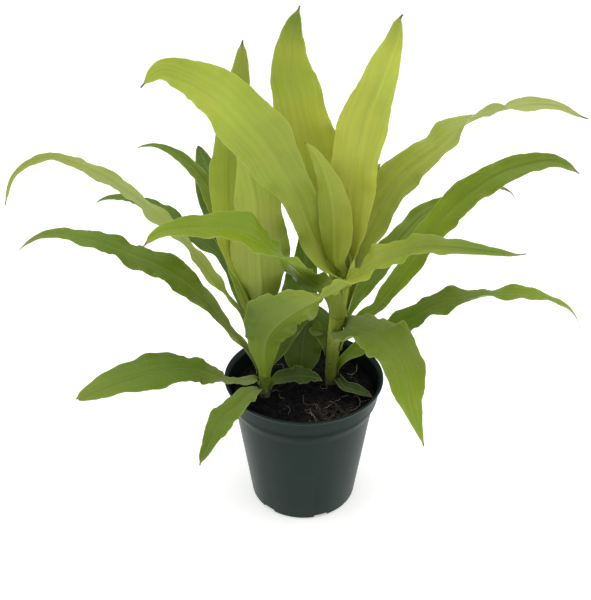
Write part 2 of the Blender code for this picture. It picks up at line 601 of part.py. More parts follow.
def main():
    """Build every piece of the plant and its pot."""
    for obj in list(bpy.data.objects):
        bpy.data.objects.remove(obj)
    build_pot(plain_material(*POT_PLASTIC))
    build_soil(plain_material(*POTTING_SOIL))
    stem_material = plain_material(*STEM_GREEN)
    for side, stem in STEMS.items():
        build_stem("stem_" + side, stem, stem_material)
    leaf_material = plain_material(*LEAF_GREEN)
    draw = random.Random(SEED)
    for leaf in LEAVES:
        phases = [draw.uniform(0.0, 2.0 * math.pi) for margin in ("one", "other")]
        build_leaf(leaf, phases, leaf_material)


main()
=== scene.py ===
"""Looks of the potted dracaena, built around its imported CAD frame.

Metres, +Z up, in the frame of the CAD. Leaf routes, widths and waves are written in millimetres, with the values
of the CAD source, and each leaf is made again here in finer steps. Geometry Nodes trees give the leaves their
relief and thickness, and lay the soil's crumbs and the root threads.
"""
import logging
import math
import random
from dataclasses import dataclass, field
from enum import Enum
from typing import Any, Optional, Sequence

import bmesh
import bpy
import numpy as np
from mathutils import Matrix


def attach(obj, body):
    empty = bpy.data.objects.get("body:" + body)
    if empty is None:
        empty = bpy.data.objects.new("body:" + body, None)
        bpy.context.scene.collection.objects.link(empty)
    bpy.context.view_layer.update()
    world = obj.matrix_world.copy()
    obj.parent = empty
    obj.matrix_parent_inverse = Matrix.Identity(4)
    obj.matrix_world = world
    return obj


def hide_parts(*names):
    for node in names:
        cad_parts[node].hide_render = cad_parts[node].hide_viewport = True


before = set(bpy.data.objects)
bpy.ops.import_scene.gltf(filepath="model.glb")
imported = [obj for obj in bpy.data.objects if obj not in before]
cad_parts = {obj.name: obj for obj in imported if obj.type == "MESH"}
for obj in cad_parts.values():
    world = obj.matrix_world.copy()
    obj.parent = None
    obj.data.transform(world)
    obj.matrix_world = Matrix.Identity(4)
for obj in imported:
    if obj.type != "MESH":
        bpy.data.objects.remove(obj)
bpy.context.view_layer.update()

LOG = logging.getLogger("dracaena")
Point = tuple[float, ...]
Values = dict[str, Any]
Socket = bpy.types.NodeSocket
Tree = bpy.types.NodeTree
Material = bpy.types.Material
Piece = bpy.types.Object

MM = 0.001
BODY = "root"
GAP = 0.0003  # running clearance between two touching pieces
SEED = 3  # sets where each leaf margin's waves start

# Heights of the soil, which the stems and the pot share.
SOIL_TOP = 0.0885
SOIL_LUMP = 0.0016
SOIL_WAVES = ((17.0, 0.4, 0.45), (11.0, 1.9, 0.3), (7.3, 2.7, 0.25))  # (pitch in mm, turn in radians, share)


def linear(colour: Sequence[float]) -> Point:
    """Turn a display colour of 0 to 255 into linear RGBA.

    Args:
        colour: Red, green and blue as a screen shows them.

    Returns:
        The linear colour, with alpha 1.
    """
    shares = [channel / 255.0 for channel in colour]
    return (*(s / 12.92 if s <= 0.04045 else ((s + 0.055) / 1.055) ** 2.4 for s in shares), 1.0)


def smooth(value: float) -> float:
    """Ease from 0 to 1."""
    value = min(max(value, 0.0), 1.0)
    return value * value * (3.0 - 2.0 * value)


def unit(vector: np.ndarray) -> np.ndarray:
    """The vector at length 1."""
    return vector / np.linalg.norm(vector)


def eased(stops: Sequence[tuple], fraction: float) -> np.ndarray:
    """Read a value between stops, eased from one to the next.

    Args:
        stops: Pairs of a fraction and a value, in rising order.
        fraction: Where to read.

    Returns:
        The value there.
    """
    for (f0, v0), (f1, v1) in zip(stops, stops[1:]):
        if fraction <= f1:
            return v0 + (v1 - v0) * smooth((fraction - f0) / (f1 - f0))
    return stops[-1][1]


def spline(points: Sequence[Point], per_span: int = 24) -> np.ndarray:
    """Draw a dense smooth curve through points, in cubic pieces with averaged slopes.

    Args:
        points: The points to pass through.
        per_span: Steps between two of them.

    Returns:
        The curve's points.
    """
    p = np.array(points, float)
    chord = np.linalg.norm(np.diff(p, axis=0), axis=1) ** 0.5
    knots = np.concatenate([[0.0], np.cumsum(chord)])
    slopes = np.gradient(p, knots, axis=0)
    curve = []
    for i, span in enumerate(chord):
        for k in range(per_span):
            u = k / per_span
            h00 = 2 * u ** 3 - 3 * u ** 2 + 1
            h10 = u ** 3 - 2 * u ** 2 + u
            h01 = 3 * u ** 2 - 2 * u ** 3
            h11 = u ** 3 - u ** 2
            curve.append(h00 * p[i] + h10 * span * slopes[i] + h01 * p[i + 1] + h11 * span * slopes[i + 1])
    curve.append(p[-1])
    return np.array(curve)


def turned_about(vector: np.ndarray, axis: np.ndarray, angle: float) -> np.ndarray:
    """Turn a vector about a unit axis by an angle in radians."""
    return (vector * math.cos(angle) + np.cross(axis, vector) * math.sin(angle)
            + axis * axis.dot(vector) * (1.0 - math.cos(angle)))


class Tone(Enum):
    """Colours of the leaves and sheaths, as a screen shows them in full light. The darker greens are partly painted
    shade: SHADE and DUSK darken the leaves low down and deep inside the plant, and DEEP is partly their own dark green,
    partly painted shade.
    """

    YELLOW_LIME = (182, 190, 76)
    LIME = (167, 177, 62)
    PALE_LIME = (165, 172, 98)
    OLIVE = (154, 165, 65)
    GRASS = (126, 147, 34)
    LEAF = (110, 130, 38)
    MATURE = (92, 115, 20)
    DEEP = (80, 102, 24)
    # Painted shade: the two darkest tones, for leaves low down and deep in the plant.
    SHADE = (60, 77, 23)
    DUSK = (26, 32, 14)
    SAGE = (136, 146, 86)


class Graph:
    """A node tree, with short calls that add its nodes and join them."""

    def __init__(self, tree: Tree) -> None:
        """Keep the tree to add to."""
        self.tree = tree

    @classmethod
    def of_material(cls, name: str) -> tuple["Graph", Material]:
        """Make a material with an empty tree.

        Args:
            name: The material's name.

        Returns:
            The graph of its tree, and the material.
        """
        material = bpy.data.materials.new(name)
        material.use_nodes = True
        material.node_tree.nodes.clear()
        return cls(material.node_tree), material

    @classmethod
    def of_geometry(cls, name: str, defaults: Values) -> tuple["Graph", Any, Any]:
        """Make a Geometry Nodes tree with named inputs.

        Args:
            name: The tree's name.
            defaults: By name, each input's default: a float, a whole number, or None for a material.

        Returns:
            The graph, the sockets that give the inputs, and the group's input geometry.
        """
        kinds = {float: "Float", int: "Int", type(None): "Material"}
        tree = bpy.data.node_groups.new(name, "GeometryNodeTree")
        tree.is_modifier = True
        tree.interface.new_socket(name="Geometry", in_out="INPUT", socket_type="NodeSocketGeometry")
        tree.interface.new_socket(name="Geometry", in_out="OUTPUT", socket_type="NodeSocketGeometry")
        for label, default in defaults.items():
            kind = "NodeSocket" + kinds[type(default)]
            socket = tree.interface.new_socket(name=label, in_out="INPUT", socket_type=kind)
            if default is not None:
                socket.default_value = default
        graph = cls(tree)
        given = graph.add("NodeGroupInput").outputs
        return graph, given, given["Geometry"]

    def add(self, kind: str, inputs: Optional[dict] = None, **settings: Any) -> bpy.types.Node:
        """Add a node.

        Args:
            kind: The node's type.
            inputs: By name or number, the sockets to join and the values to set.
            settings: The node's own settings.

        Returns:
            The node.
        """
        node = self.tree.nodes.new(kind)
        for name, value in settings.items():
            setattr(node, name, value)
        for key, value in (inputs or {}).items():
            if isinstance(value, Socket):
                self.tree.links.new(value, node.inputs[key])
            else:
                node.inputs[key].default_value = value
        return node

    def math(self, operation: str, *values: Any, clamp: bool = False) -> Socket:
        """Join values by a Math node."""
        return self.add("ShaderNodeMath", dict(enumerate(values)), operation=operation, use_clamp=clamp).outputs[0]

    def times(self, first: Any, second: Any, clamp: bool = False) -> Socket:
        """One value times another."""
        return self.math("MULTIPLY", first, second, clamp=clamp)

    def minus(self, first: Any, second: Any) -> Socket:
        """One value less another."""
        return self.math("SUBTRACT", first, second)

    def over(self, first: Any, second: Any) -> Socket:
        """One value divided by another."""
        return self.math("DIVIDE", first, second)

    def line(self, value: Any, slope: Any, start: Any) -> Socket:
        """A start, and a value times a slope added to it."""
        return self.math("MULTIPLY_ADD", value, slope, start)

    def centred(self, value: Any) -> Socket:
        """A value of 0 to 1, less a half."""
        return self.math("SUBTRACT", value, 0.5)

    def vector(self, operation: str, *values: Any) -> Socket:
        """Join vectors by a Vector Math node."""
        return self.add("ShaderNodeVectorMath", dict(enumerate(values)), operation=operation).outputs[0]

    def measure(self, operation: str, *values: Any) -> Socket:
        """A number from vectors, such as a length or a distance."""
        return self.add("ShaderNodeVectorMath", dict(enumerate(values)), operation=operation).outputs["Value"]

    def scaled(self, vector: Any, factor: Any) -> Socket:
        """A vector times a number."""
        return self.add("ShaderNodeVectorMath", {0: vector, "Scale": factor}, operation="SCALE").outputs[0]

    def parts(self, vector: Any) -> Any:
        """The three parts of a vector."""
        return self.add("ShaderNodeSeparateXYZ", {0: vector}).outputs

    def whole(self, x: Any, y: Any, z: Any) -> Socket:
        """A vector from its three parts."""
        return self.add("ShaderNodeCombineXYZ", {0: x, 1: y, 2: z}).outputs[0]

    def ease(self, value: Any, low: float, high: float, first: float = 0.0, last: float = 1.0) -> Socket:
        """Ease from one number to another as a value rises.

        Args:
            value: The value that rises.
            low: Where it starts to count.
            high: Where it ends.
            first: The number at and below low.
            last: The number at and above high.

        Returns:
            The eased number.
        """
        return self.add("ShaderNodeMapRange", {0: value, 1: low, 2: high, 3: first, 4: last},
                        interpolation_type="SMOOTHSTEP").outputs[0]

    def noise(self, vector: Any, scale: Any, detail: float = 2.0, roughness: float = 0.5) -> Socket:
        """Noise between 0 and 1 at a place."""
        return self.add("ShaderNodeTexNoise", {"Vector": vector, "Scale": scale, "Detail": detail,
                                               "Roughness": roughness}).outputs[0]

    def mix(self, factor: Any, first: Any, second: Any, blend: str = "MIX") -> Socket:
        """Mix two colours."""
        return self.add("ShaderNodeMix", {0: factor, 6: first, 7: second}, data_type="RGBA",
                        blend_type=blend).outputs[2]

    def ramp(self, value: Any, stops: Sequence[tuple[float, Point]]) -> Socket:
        """Colour a value by stops.

        Args:
            value: The value, 0 to 1.
            stops: Pairs of a place on the ramp and a linear colour.

        Returns:
            The colour.
        """
        node = self.add("ShaderNodeValToRGB", {0: value})
        band = node.color_ramp
        while len(band.elements) < len(stops):
            band.elements.new(1.0)
        for element, (place, colour) in zip(band.elements, stops):
            element.position = place
            element.color = colour
        return node.outputs[0]

    def named(self, name: str, kind: str = "FLOAT_VECTOR") -> Socket:
        """A named attribute, in a Geometry Nodes tree."""
        return self.add("GeometryNodeInputNamedAttribute", {"Name": name}, data_type=kind).outputs[0]

    def painted(self, name: str) -> Any:
        """The outputs of a mesh's attribute, in a material."""
        return self.add("ShaderNodeAttribute", attribute_name=name, attribute_type="GEOMETRY").outputs

    def object_place(self) -> Socket:
        """Object coordinates, in a material."""
        return self.add("ShaderNodeTexCoord").outputs["Object"]

    def moved(self, geometry: Any, offset: Any) -> Socket:
        """Geometry moved by an offset."""
        return self.add("GeometryNodeSetPosition", {"Geometry": geometry, "Offset": offset}).outputs[0]

    def stored(self, geometry: Any, name: str, value: Any, domain: str, chosen: Any = True) -> Socket:
        """Store a number on geometry.

        Args:
            geometry: The geometry's socket.
            name: The attribute's name.
            value: The number.
            domain: What carries it, such as points or instances.
            chosen: Which of them get it.

        Returns:
            The geometry with the attribute.
        """
        return self.add("GeometryNodeStoreNamedAttribute", {
            "Geometry": geometry, "Name": name, "Selection": chosen, "Value": value},
            data_type="FLOAT", domain=domain).outputs[0]

    def finish_mesh(self, geometry: Any, material: Any) -> None:
        """Shade a tree's result smooth, give it its material and realize it.

        Args:
            geometry: The socket with the result.
            material: The material, or the socket that gives it.
        """
        shaded = self.add("GeometryNodeSetShadeSmooth", {0: geometry}).outputs[0]
        real = self.add("GeometryNodeRealizeInstances", {0: shaded}).outputs[0]
        dressed = self.add("GeometryNodeSetMaterial", {0: real, "Material": material}).outputs[0]
        self.add("NodeGroupOutput", {0: dressed})

    def principled(self, colour: Any, roughness: Any, normal: Any = None, **fixed: Any) -> None:
        """End a material in a Principled shader.

        Args:
            colour: The base colour's socket.
            roughness: The roughness socket or value.
            normal: The bumped normal's socket.
            fixed: Uniform values, by input name with underscores for spaces.
        """
        inputs: Values = {"Base Color": colour, "Roughness": roughness}
        if normal is not None:
            inputs["Normal"] = normal
        for name, value in fixed.items():
            inputs[name.replace("_", " ")] = value
        shader = self.add("ShaderNodeBsdfPrincipled", inputs)
        self.add("ShaderNodeOutputMaterial", {"Surface": shader.outputs[0]})

    def bump(self, height: Any, strength: float, distance: float) -> Socket:
        """A normal bumped by a height."""
        return self.add("ShaderNodeBump", {"Height": height, "Strength": strength, "Distance": distance}).outputs[0]


@dataclass(frozen=True)
class LeafFinish:
    """Satin leaf: soft streaks along the blade, pale midrib and margins, a duller underside and dry tips."""

    streak_width: float = 0.0014
    streak_length: float = 0.075
    streak_depth: float = 0.28
    band_width: float = 0.0042
    band_depth: float = 0.18
    mottle_size: float = 0.032
    mottle_depth: float = 0.38
    warm: Point = (1.03, 1.0, 0.92, 1.0)  # what the tone is multiplied by in one kind of patch
    cool: Point = (0.94, 1.01, 1.0, 1.0)  # and in the other
    patch_scale: float = 0.6
    leaf_turn: float = 7.31  # how far the noise of one leaf lies from the next leaf's
    vein_pitch: float = 0.00045
    vein_length: float = 0.02
    midrib: float = 0.0008
    midrib_share: float = 0.09
    margin: float = 0.0008
    margin_share: float = 0.24
    pale: Point = (196, 202, 132)
    under: Point = (138, 150, 88)
    under_share: float = 0.14
    yellowed: Point = (150, 142, 70)
    yellow_span: Point = (0.9, 2.0)  # in lengths of the dry tip, where the yellow lies
    yellow_share: float = 0.55
    dry: Point = (138, 124, 100)
    dry_dark: Point = (88, 76, 66)
    dry_span: Point = (0.6, 1.1)  # in lengths of the dry tip, where the brown ends
    ragged: float = 1.1
    ragged_width: float = 0.0016
    ragged_length: float = 0.004
    speck_scale: float = 620.0
    speck_share: float = 0.16
    roughness: float = 0.42
    band_roughness: float = 0.16
    dry_roughness: float = 0.35
    relief: float = 0.0003
    gloss: float = 0.22
    glow: float = 0.16
    glow_depth: float = 0.0012

    def material(self) -> Material:
        """Build the leaf material, which reads the attributes painted on each blade.

        Returns:
            The material.
        """
        graph, material = Graph.of_material("leaf_satin")
        across, along, number = graph.parts(graph.painted("blade")["Vector"])
        margin = graph.parts(graph.painted("zone")["Vector"])[0]
        tone = graph.painted("tone")["Color"]
        place = graph.object_place()
        turn = graph.times(number, self.leaf_turn)

        def along_noise(width: float, length: float, detail: float) -> Socket:
            """Noise drawn out along the blade."""
            return graph.noise(graph.whole(graph.over(across, width), graph.over(along, length), turn), 1.0, detail)

        streak = along_noise(self.streak_width, self.streak_length, 2.0)
        band = along_noise(self.band_width, 2.0 * self.streak_length, 1.0)
        veins = along_noise(self.vein_pitch, self.vein_length, 1.0)
        mottle = graph.noise(place, 1.0 / self.mottle_size, 3.0)
        light = graph.line(streak, self.streak_depth, 1.0 - self.streak_depth / 2)
        light = graph.line(graph.centred(band), self.band_depth, light)
        light = graph.line(graph.centred(mottle), self.mottle_depth, light)
        patch = graph.ease(graph.noise(place, self.patch_scale / self.mottle_size, 2.0), 0.35, 0.65)
        colour = graph.mix(1.0, graph.scaled(tone, light), graph.mix(patch, self.warm, self.cool), "MULTIPLY")

        middle = graph.minus(1.0, graph.ease(graph.math("ABSOLUTE", across), 0.0002, self.midrib))
        edge = graph.minus(1.0, graph.ease(margin, 0.0001, self.margin))
        lines = graph.math("MAXIMUM", graph.times(middle, self.midrib_share), graph.times(edge, self.margin_share))
        colour = graph.mix(lines, colour, linear(self.pale))
        below = graph.minus(1.0, graph.painted("side")["Fac"])
        colour = graph.mix(graph.times(below, self.under_share), colour, linear(self.under))

        wobble = along_noise(self.ragged_width, self.ragged_length, 3.0)
        dryness = graph.line(graph.centred(wobble), self.ragged, graph.painted("dry")["Fac"])
        yellow = graph.ease(dryness, *self.yellow_span, self.yellow_share, 0.0)
        colour = graph.mix(yellow, colour, linear(self.yellowed))
        brown = graph.ease(dryness, *self.dry_span, 1.0, 0.0)
        husk = graph.mix(graph.ease(wobble, 0.35, 0.65), linear(self.dry), linear(self.dry_dark))
        colour = graph.mix(brown, colour, husk)
        specks = graph.ease(graph.noise(place, self.speck_scale, 2.0), 0.66, 0.74, 0.0, self.speck_share)
        colour = graph.mix(specks, colour, linear(self.pale))

        roughness = graph.line(band, self.band_roughness, self.roughness - self.band_roughness / 2)
        roughness = graph.line(brown, self.dry_roughness, roughness)
        height = graph.line(streak, 0.8, graph.times(veins, 0.5))
        height = graph.line(graph.noise(place, 1500.0, 1.0), 0.25, height)
        graph.principled(colour, roughness, graph.bump(height, 0.45, self.relief), Specular_IOR_Level=self.gloss,
                         Subsurface_Weight=self.glow, Subsurface_Radius=(0.9, 1.0, 0.35),
                         Subsurface_Scale=self.glow_depth)
        return material


@dataclass(frozen=True)
class StemFinish:
    """Leaf sheaths wrapped round the cane: pale olive with fine fibres, thin light edges and painted shade in the
    crease above each edge, browner by the soil.
    """

    young: Point = (112, 127, 47)
    old: Point = (92, 92, 56)
    crown: Point = (166, 178, 68)
    rim: Point = (158, 166, 104)
    rim_share: float = 0.75
    # painted shade: the dark colour laid in the crease above each sheath's edge
    crease: Point = (58, 66, 28)
    crease_shade_share: float = 0.85
    foot_span: Point = (0.004, 0.014)  # metres above the soil, where the old colour gives way to the young
    crown_span: Point = (0.105, 0.150)  # heights in metres, where the young gives way to the crown's
    fibres: float = 5.0
    fibre_length: float = 0.05
    roughness: float = 0.45
    relief: float = 0.0004

    def material(self) -> Material:
        """Build the sheaths' material, which reads the turn, the height and the edges painted on each stem.

        Returns:
            The material.
        """
        graph, material = Graph.of_material("cane_satin")
        turn, height, edge = graph.parts(graph.painted("cane")["Vector"])
        round_there = graph.whole(graph.times(graph.math("COSINE", turn), self.fibres),
                                  graph.times(graph.math("SINE", turn), self.fibres),
                                  graph.over(height, self.fibre_length))
        fibre = graph.noise(round_there, 1.6, 3.0)
        mottle = graph.noise(graph.object_place(), 120.0, 3.0)
        low, high = (SOIL_TOP + reach for reach in self.foot_span)
        age = graph.ease(graph.line(mottle, 0.008, height), low, high)
        colour = graph.mix(age, linear(self.old), linear(self.young))
        colour = graph.mix(graph.ease(height, *self.crown_span), colour, linear(self.crown))
        light = graph.line(graph.centred(mottle), 0.35, graph.line(fibre, 1.0, 0.48))
        colour = graph.scaled(colour, light)
        colour = graph.mix(graph.ease(edge, 0.2, 1.0, 0.0, self.rim_share), colour, linear(self.rim))
        # Painted shade in the crease above each sheath's edge.
        colour = graph.mix(graph.ease(edge, -1.0, -0.2, self.crease_shade_share, 0.0), colour, linear(self.crease))
        relief = graph.line(fibre, 0.9, graph.times(mottle, 0.3))
        graph.principled(colour, graph.line(mottle, 0.2, self.roughness - 0.1), graph.bump(relief, 0.5, self.relief),
                         Specular_IOR_Level=0.3, Subsurface_Weight=0.12, Subsurface_Radius=(0.6, 1.0, 0.2),
                         Subsurface_Scale=0.0015)
        return material


@dataclass(frozen=True)
class PlasticFinish:
    """Moulded grey-green pot plastic: fine grain, faint flow marks, scuffs, dust, and painted shade under the collar
    and on the inside wall.
    """

    base: Point = (19, 38, 35)
    warm: Point = (22, 38, 32)
    dusty: Point = (70, 80, 77)
    # painted shade: the near-black colour of the inside wall above the collar's foot
    inside: Point = (9, 15, 14)
    inside_shade_share: float = 0.8
    shade: float = 0.36
    shade_rise: Point = (0.0780, 0.0845)  # heights in metres, where the shade under the collar sets in
    shade_end: Point = (0.0875, 0.0915)  # and where it ends, on the collar
    flow_scale: Point = (75.0, 75.0, 9.0)
    scuff_scale: Point = (60.0, 60.0, 700.0)
    scuff_share: float = 0.22
    foot_dust: float = 0.20
    speck_share: float = 0.25
    roughness: float = 0.38
    flow_roughness: float = 0.16
    dust_roughness: float = 0.35
    relief: float = 0.0003
    gloss: float = 0.13
    dulling: float = 1.5  # how much faster the gloss fades in the shade than the colour

    def material(self, foot: Point, top: Point) -> Material:
        """Build the pot's material, on Object coordinates.

        Args:
            foot: Radius and height of the collar's foot, outside.
            top: Radius and height of the collar's top, outside.

        Returns:
            The material.
        """
        graph, material = Graph.of_material("pot_satin")
        place = graph.object_place()
        x, y, z = graph.parts(place)
        flow = graph.noise(graph.vector("MULTIPLY", place, self.flow_scale), 1.0, 3.0)
        scuff = graph.noise(graph.vector("MULTIPLY", place, self.scuff_scale), 1.0, 4.0)
        cloud = graph.noise(place, 42.0, 3.0)
        grain = graph.noise(place, 2600.0, 1.0)
        colour = graph.mix(graph.ease(cloud, 0.3, 0.7), linear(self.base), linear(self.warm))
        colour = graph.scaled(colour, graph.line(flow, 0.5, 0.75))
        shade = graph.times(graph.ease(z, *self.shade_rise), graph.ease(z, *self.shade_end, self.shade, 0.0))
        colour = graph.scaled(colour, graph.minus(1.0, shade))

        # Painted shade: the inside wall above the collar's foot is mixed towards near black.
        slope = (top[0] - foot[0]) / (top[1] - foot[1])
        outside = graph.line(z, slope, foot[0] - slope * foot[1])
        depth = graph.minus(outside, graph.measure("LENGTH", graph.whole(x, y, 0.0)))
        above = graph.ease(z, foot[1] + 0.0008, foot[1] + 0.0016)
        inner_shade = graph.times(graph.ease(depth, 0.0004, 0.0009), above)
        colour = graph.mix(graph.times(inner_shade, self.inside_shade_share), colour, linear(self.inside))

        marks = graph.times(graph.ease(scuff, 0.62, 0.75), graph.ease(cloud, 0.45, 0.6, 0.0, self.scuff_share))
        low = graph.times(graph.ease(z, 0.0, 0.02, self.foot_dust, 0.0), graph.ease(grain, 0.35, 0.6))
        specks = graph.ease(graph.noise(place, 480.0, 2.0), 0.68, 0.76, 0.0, self.speck_share)
        dust = graph.math("ADD", marks, graph.math("ADD", low, specks), clamp=True)
        colour = graph.mix(dust, colour, linear(self.dusty))
        roughness = graph.line(flow, self.flow_roughness, self.roughness - self.flow_roughness / 2)
        roughness = graph.line(dust, self.dust_roughness, roughness)
        relief = graph.line(flow, 0.6, graph.times(grain, 0.35))
        graph.principled(colour, roughness, graph.bump(relief, 0.3, self.relief),
                         Specular_IOR_Level=graph.line(shade, -self.dulling * self.gloss, self.gloss))
        return material


@dataclass(frozen=True)
class SoilFinish:
    """Dark peat: near black where moist, with brown fibrous patches."""

    dark: Point = (6, 6, 9)
    moist: Point = (15, 14, 18)
    brown: Point = (68, 59, 51)
    brown_place: Point = (0.020, -0.029, SOIL_TOP)  # middle of the drier patch, in metres
    brown_reach: float = 0.022
    fibre_turn: float = 0.6
    fibre_scale: Point = (900.0, 180.0, 500.0)
    roughness: float = 0.82
    relief: float = 0.0012

    def material(self) -> Material:
        """Build the soil's material, on Object coordinates.

        Returns:
            The material.
        """
        graph, material = Graph.of_material("peat")
        place = graph.object_place()
        patch = graph.noise(place, 55.0, 3.0)
        crumb = graph.noise(place, 420.0, 4.0, 0.65)
        laid = graph.add("ShaderNodeMapping", {0: place, "Rotation": (0.0, 0.0, self.fibre_turn),
                                               "Scale": self.fibre_scale}).outputs[0]
        fibre = graph.noise(laid, 1.0, 3.0)
        colour = graph.mix(graph.ease(crumb, 0.35, 0.7), linear(self.dark), linear(self.moist))
        away = graph.measure("DISTANCE", place, self.brown_place)
        near = graph.ease(away, 0.35 * self.brown_reach, self.brown_reach, 1.0, 0.1)
        dry = graph.line(graph.ease(patch, 0.4, 0.62), 0.7, graph.times(fibre, 0.4))
        colour = graph.mix(graph.times(dry, near, clamp=True), colour, linear(self.brown))
        height = graph.line(fibre, 0.5, crumb)
        graph.principled(colour, graph.line(crumb, 0.15, self.roughness), graph.bump(height, 0.9, self.relief),
                         Specular_IOR_Level=0.15)
        return material


@dataclass(frozen=True)
class CrumbFinish:
    """Loose bits on the soil, each with its own shade between a dark and a light colour."""

    name: str
    dark: Point
    middle: Point
    light: Point
    roughness: float = 0.9
    relief: float = 0.0005

    def material(self) -> Material:
        """Build the bits' material, which reads the shade painted on each.

        Returns:
            The material.
        """
        graph, material = Graph.of_material(self.name)
        grain = graph.noise(graph.object_place(), 1100.0, 3.0, 0.6)
        mixed = graph.line(graph.centred(grain), 0.5, graph.painted("shade")["Fac"])
        colour = graph.ramp(mixed, ((0.0, linear(self.dark)), (0.6, linear(self.middle)), (1.0, linear(self.light))))
        graph.principled(colour, graph.line(grain, 0.2, self.roughness - 0.1), graph.bump(grain, 0.8, self.relief),
                         Specular_IOR_Level=0.15)
        return material


@dataclass(frozen=True)
class ThreadFinish:
    """Fine dry roots: pale grey brown, darker in places."""

    pale: Point = (172, 164, 154)
    dark: Point = (104, 94, 86)
    roughness: float = 0.7
    relief: float = 0.0002

    def material(self) -> Material:
        """Build the roots' material, on Object coordinates.

        Returns:
            The material.
        """
        graph, material = Graph.of_material("root_thread")
        grain = graph.noise(graph.object_place(), 240.0, 3.0)
        colour = graph.mix(graph.ease(grain, 0.35, 0.62), linear(self.dark), linear(self.pale))
        graph.principled(colour, graph.line(grain, 0.2, self.roughness), graph.bump(grain, 0.5, self.relief),
                         Specular_IOR_Level=0.2)
        return material


@dataclass(frozen=True)
class FloorFinish:
    """Smooth white studio paper on a lit table."""

    white: Point = (250, 250, 249)
    lit: float = 0.42  # light of its own, as of paper lit from behind
    roughness: float = 0.9
    relief: float = 0.0002

    def material(self) -> Material:
        """Build the floor's material.

        Returns:
            The material.
        """
        graph, material = Graph.of_material("studio_paper")
        grain = graph.noise(graph.object_place(), 400.0, 2.0)
        colour = graph.scaled(linear(self.white)[:3], graph.line(grain, 0.01, 0.99))
        graph.principled(colour, graph.line(grain, 0.05, self.roughness), graph.bump(grain, 0.05, self.relief),
                         Specular_IOR_Level=0.1, Emission_Color=linear(self.white), Emission_Strength=self.lit)
        return material


def placed(name: str, data: Any) -> Piece:
    """Put data into the scene as an object.

    Args:
        name: The object's name.
        data: Its mesh, camera or light.

    Returns:
        The object.
    """
    obj = bpy.data.objects.new(name, data)
    bpy.context.scene.collection.objects.link(obj)
    return obj


def settled(name: str, mesh: bmesh.types.BMesh) -> Piece:
    """Put a mesh under construction into the scene, and free it.

    Args:
        name: The object's name.
        mesh: The mesh.

    Returns:
        The object.
    """
    data = bpy.data.meshes.new(name)
    mesh.to_mesh(data)
    mesh.free()
    return placed(name, data)


def sheet_mesh(name: str, points: np.ndarray, faces: Sequence[Sequence[int]]) -> Piece:
    """Put points and faces into the scene as an object.

    Args:
        name: The object's name.
        points: The points, in metres.
        faces: Each face's point numbers, turning left seen from outside.

    Returns:
        The object.
    """
    mesh = bpy.data.meshes.new(name)
    mesh.from_pydata(points.reshape(-1, 3).tolist(), [], [tuple(face) for face in faces])
    mesh.update()
    return placed(name, mesh)


def paint(obj: Piece, name: str, values: np.ndarray) -> None:
    """Paint a value on every point of a mesh.

    Args:
        obj: The object.
        name: The attribute's name.
        values: One number, or one vector, for each point.
    """
    flat = values.size == len(obj.data.vertices)
    layer = obj.data.attributes.new(name, "FLOAT" if flat else "FLOAT_VECTOR", "POINT")
    layer.data.foreach_set("value" if flat else "vector", values.astype(np.float32).ravel())


def grown(obj: Piece, tree: Tree, values: Values) -> Piece:
    """Run a Geometry Nodes tree on an object once, and keep the plain mesh.

    Args:
        obj: The object, whose mesh goes in.
        tree: The tree.
        values: Its inputs, by name.

    Returns:
        The same object with the finished mesh.
    """
    modifier = obj.modifiers.new(tree.name, "NODES")
    modifier.node_group = tree
    for item in tree.interface.items_tree:
        if item.item_type == "SOCKET" and item.in_out == "INPUT" and item.name in values:
            modifier[item.identifier] = values[item.name]
    depsgraph = bpy.context.evaluated_depsgraph_get()
    mesh = bpy.data.meshes.new_from_object(obj.evaluated_get(depsgraph), preserve_all_data_layers=True,
                                           depsgraph=depsgraph)
    obj.modifiers.remove(modifier)
    obj.data = mesh
    mesh.name = obj.name
    return obj


def dress_in(obj: Piece, material: Material) -> None:
    """Give a piece its one material, and shade it smooth.

    Args:
        obj: The piece.
        material: The material.
    """
    obj.data.materials.clear()
    obj.data.materials.append(material)
    obj.data.shade_smooth()


def ring(radius: float, sides: int) -> list[Point]:
    """(x, y) points round a circle.

    Args:
        radius: The circle's radius.
        sides: How many points.

    Returns:
        The points.
    """
    turns = [2.0 * math.pi * n / sides for n in range(sides)]
    return [(radius * math.cos(turn), radius * math.sin(turn)) for turn in turns]


def ring_faces(rings: int, sides: int) -> list[tuple[int, ...]]:
    """Faces of a tube of point rings, turning left seen from outside where the rings go up.

    Args:
        rings: How many rings.
        sides: Points in each.

    Returns:
        The faces.
    """
    faces = []
    for k in range(rings - 1):
        low = k * sides
        for n in range(sides):
            m = (n + 1) % sides
            faces.append((low + n, low + m, low + sides + m, low + sides + n))
    return faces


def keep(obj: Piece, slot: str, *nodes: str) -> None:
    """Hand a finished piece to the frame.

    Args:
        obj: The piece.
        slot: The record's material slot of its finish; not used.
        nodes: The CAD nodes that it stands for.
    """
    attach(obj, BODY)
    if nodes:
        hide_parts(*nodes)
    obj.data.calc_loop_triangles()
    LOG.info("%s: %d triangles", obj.name, len(obj.data.loop_triangles))


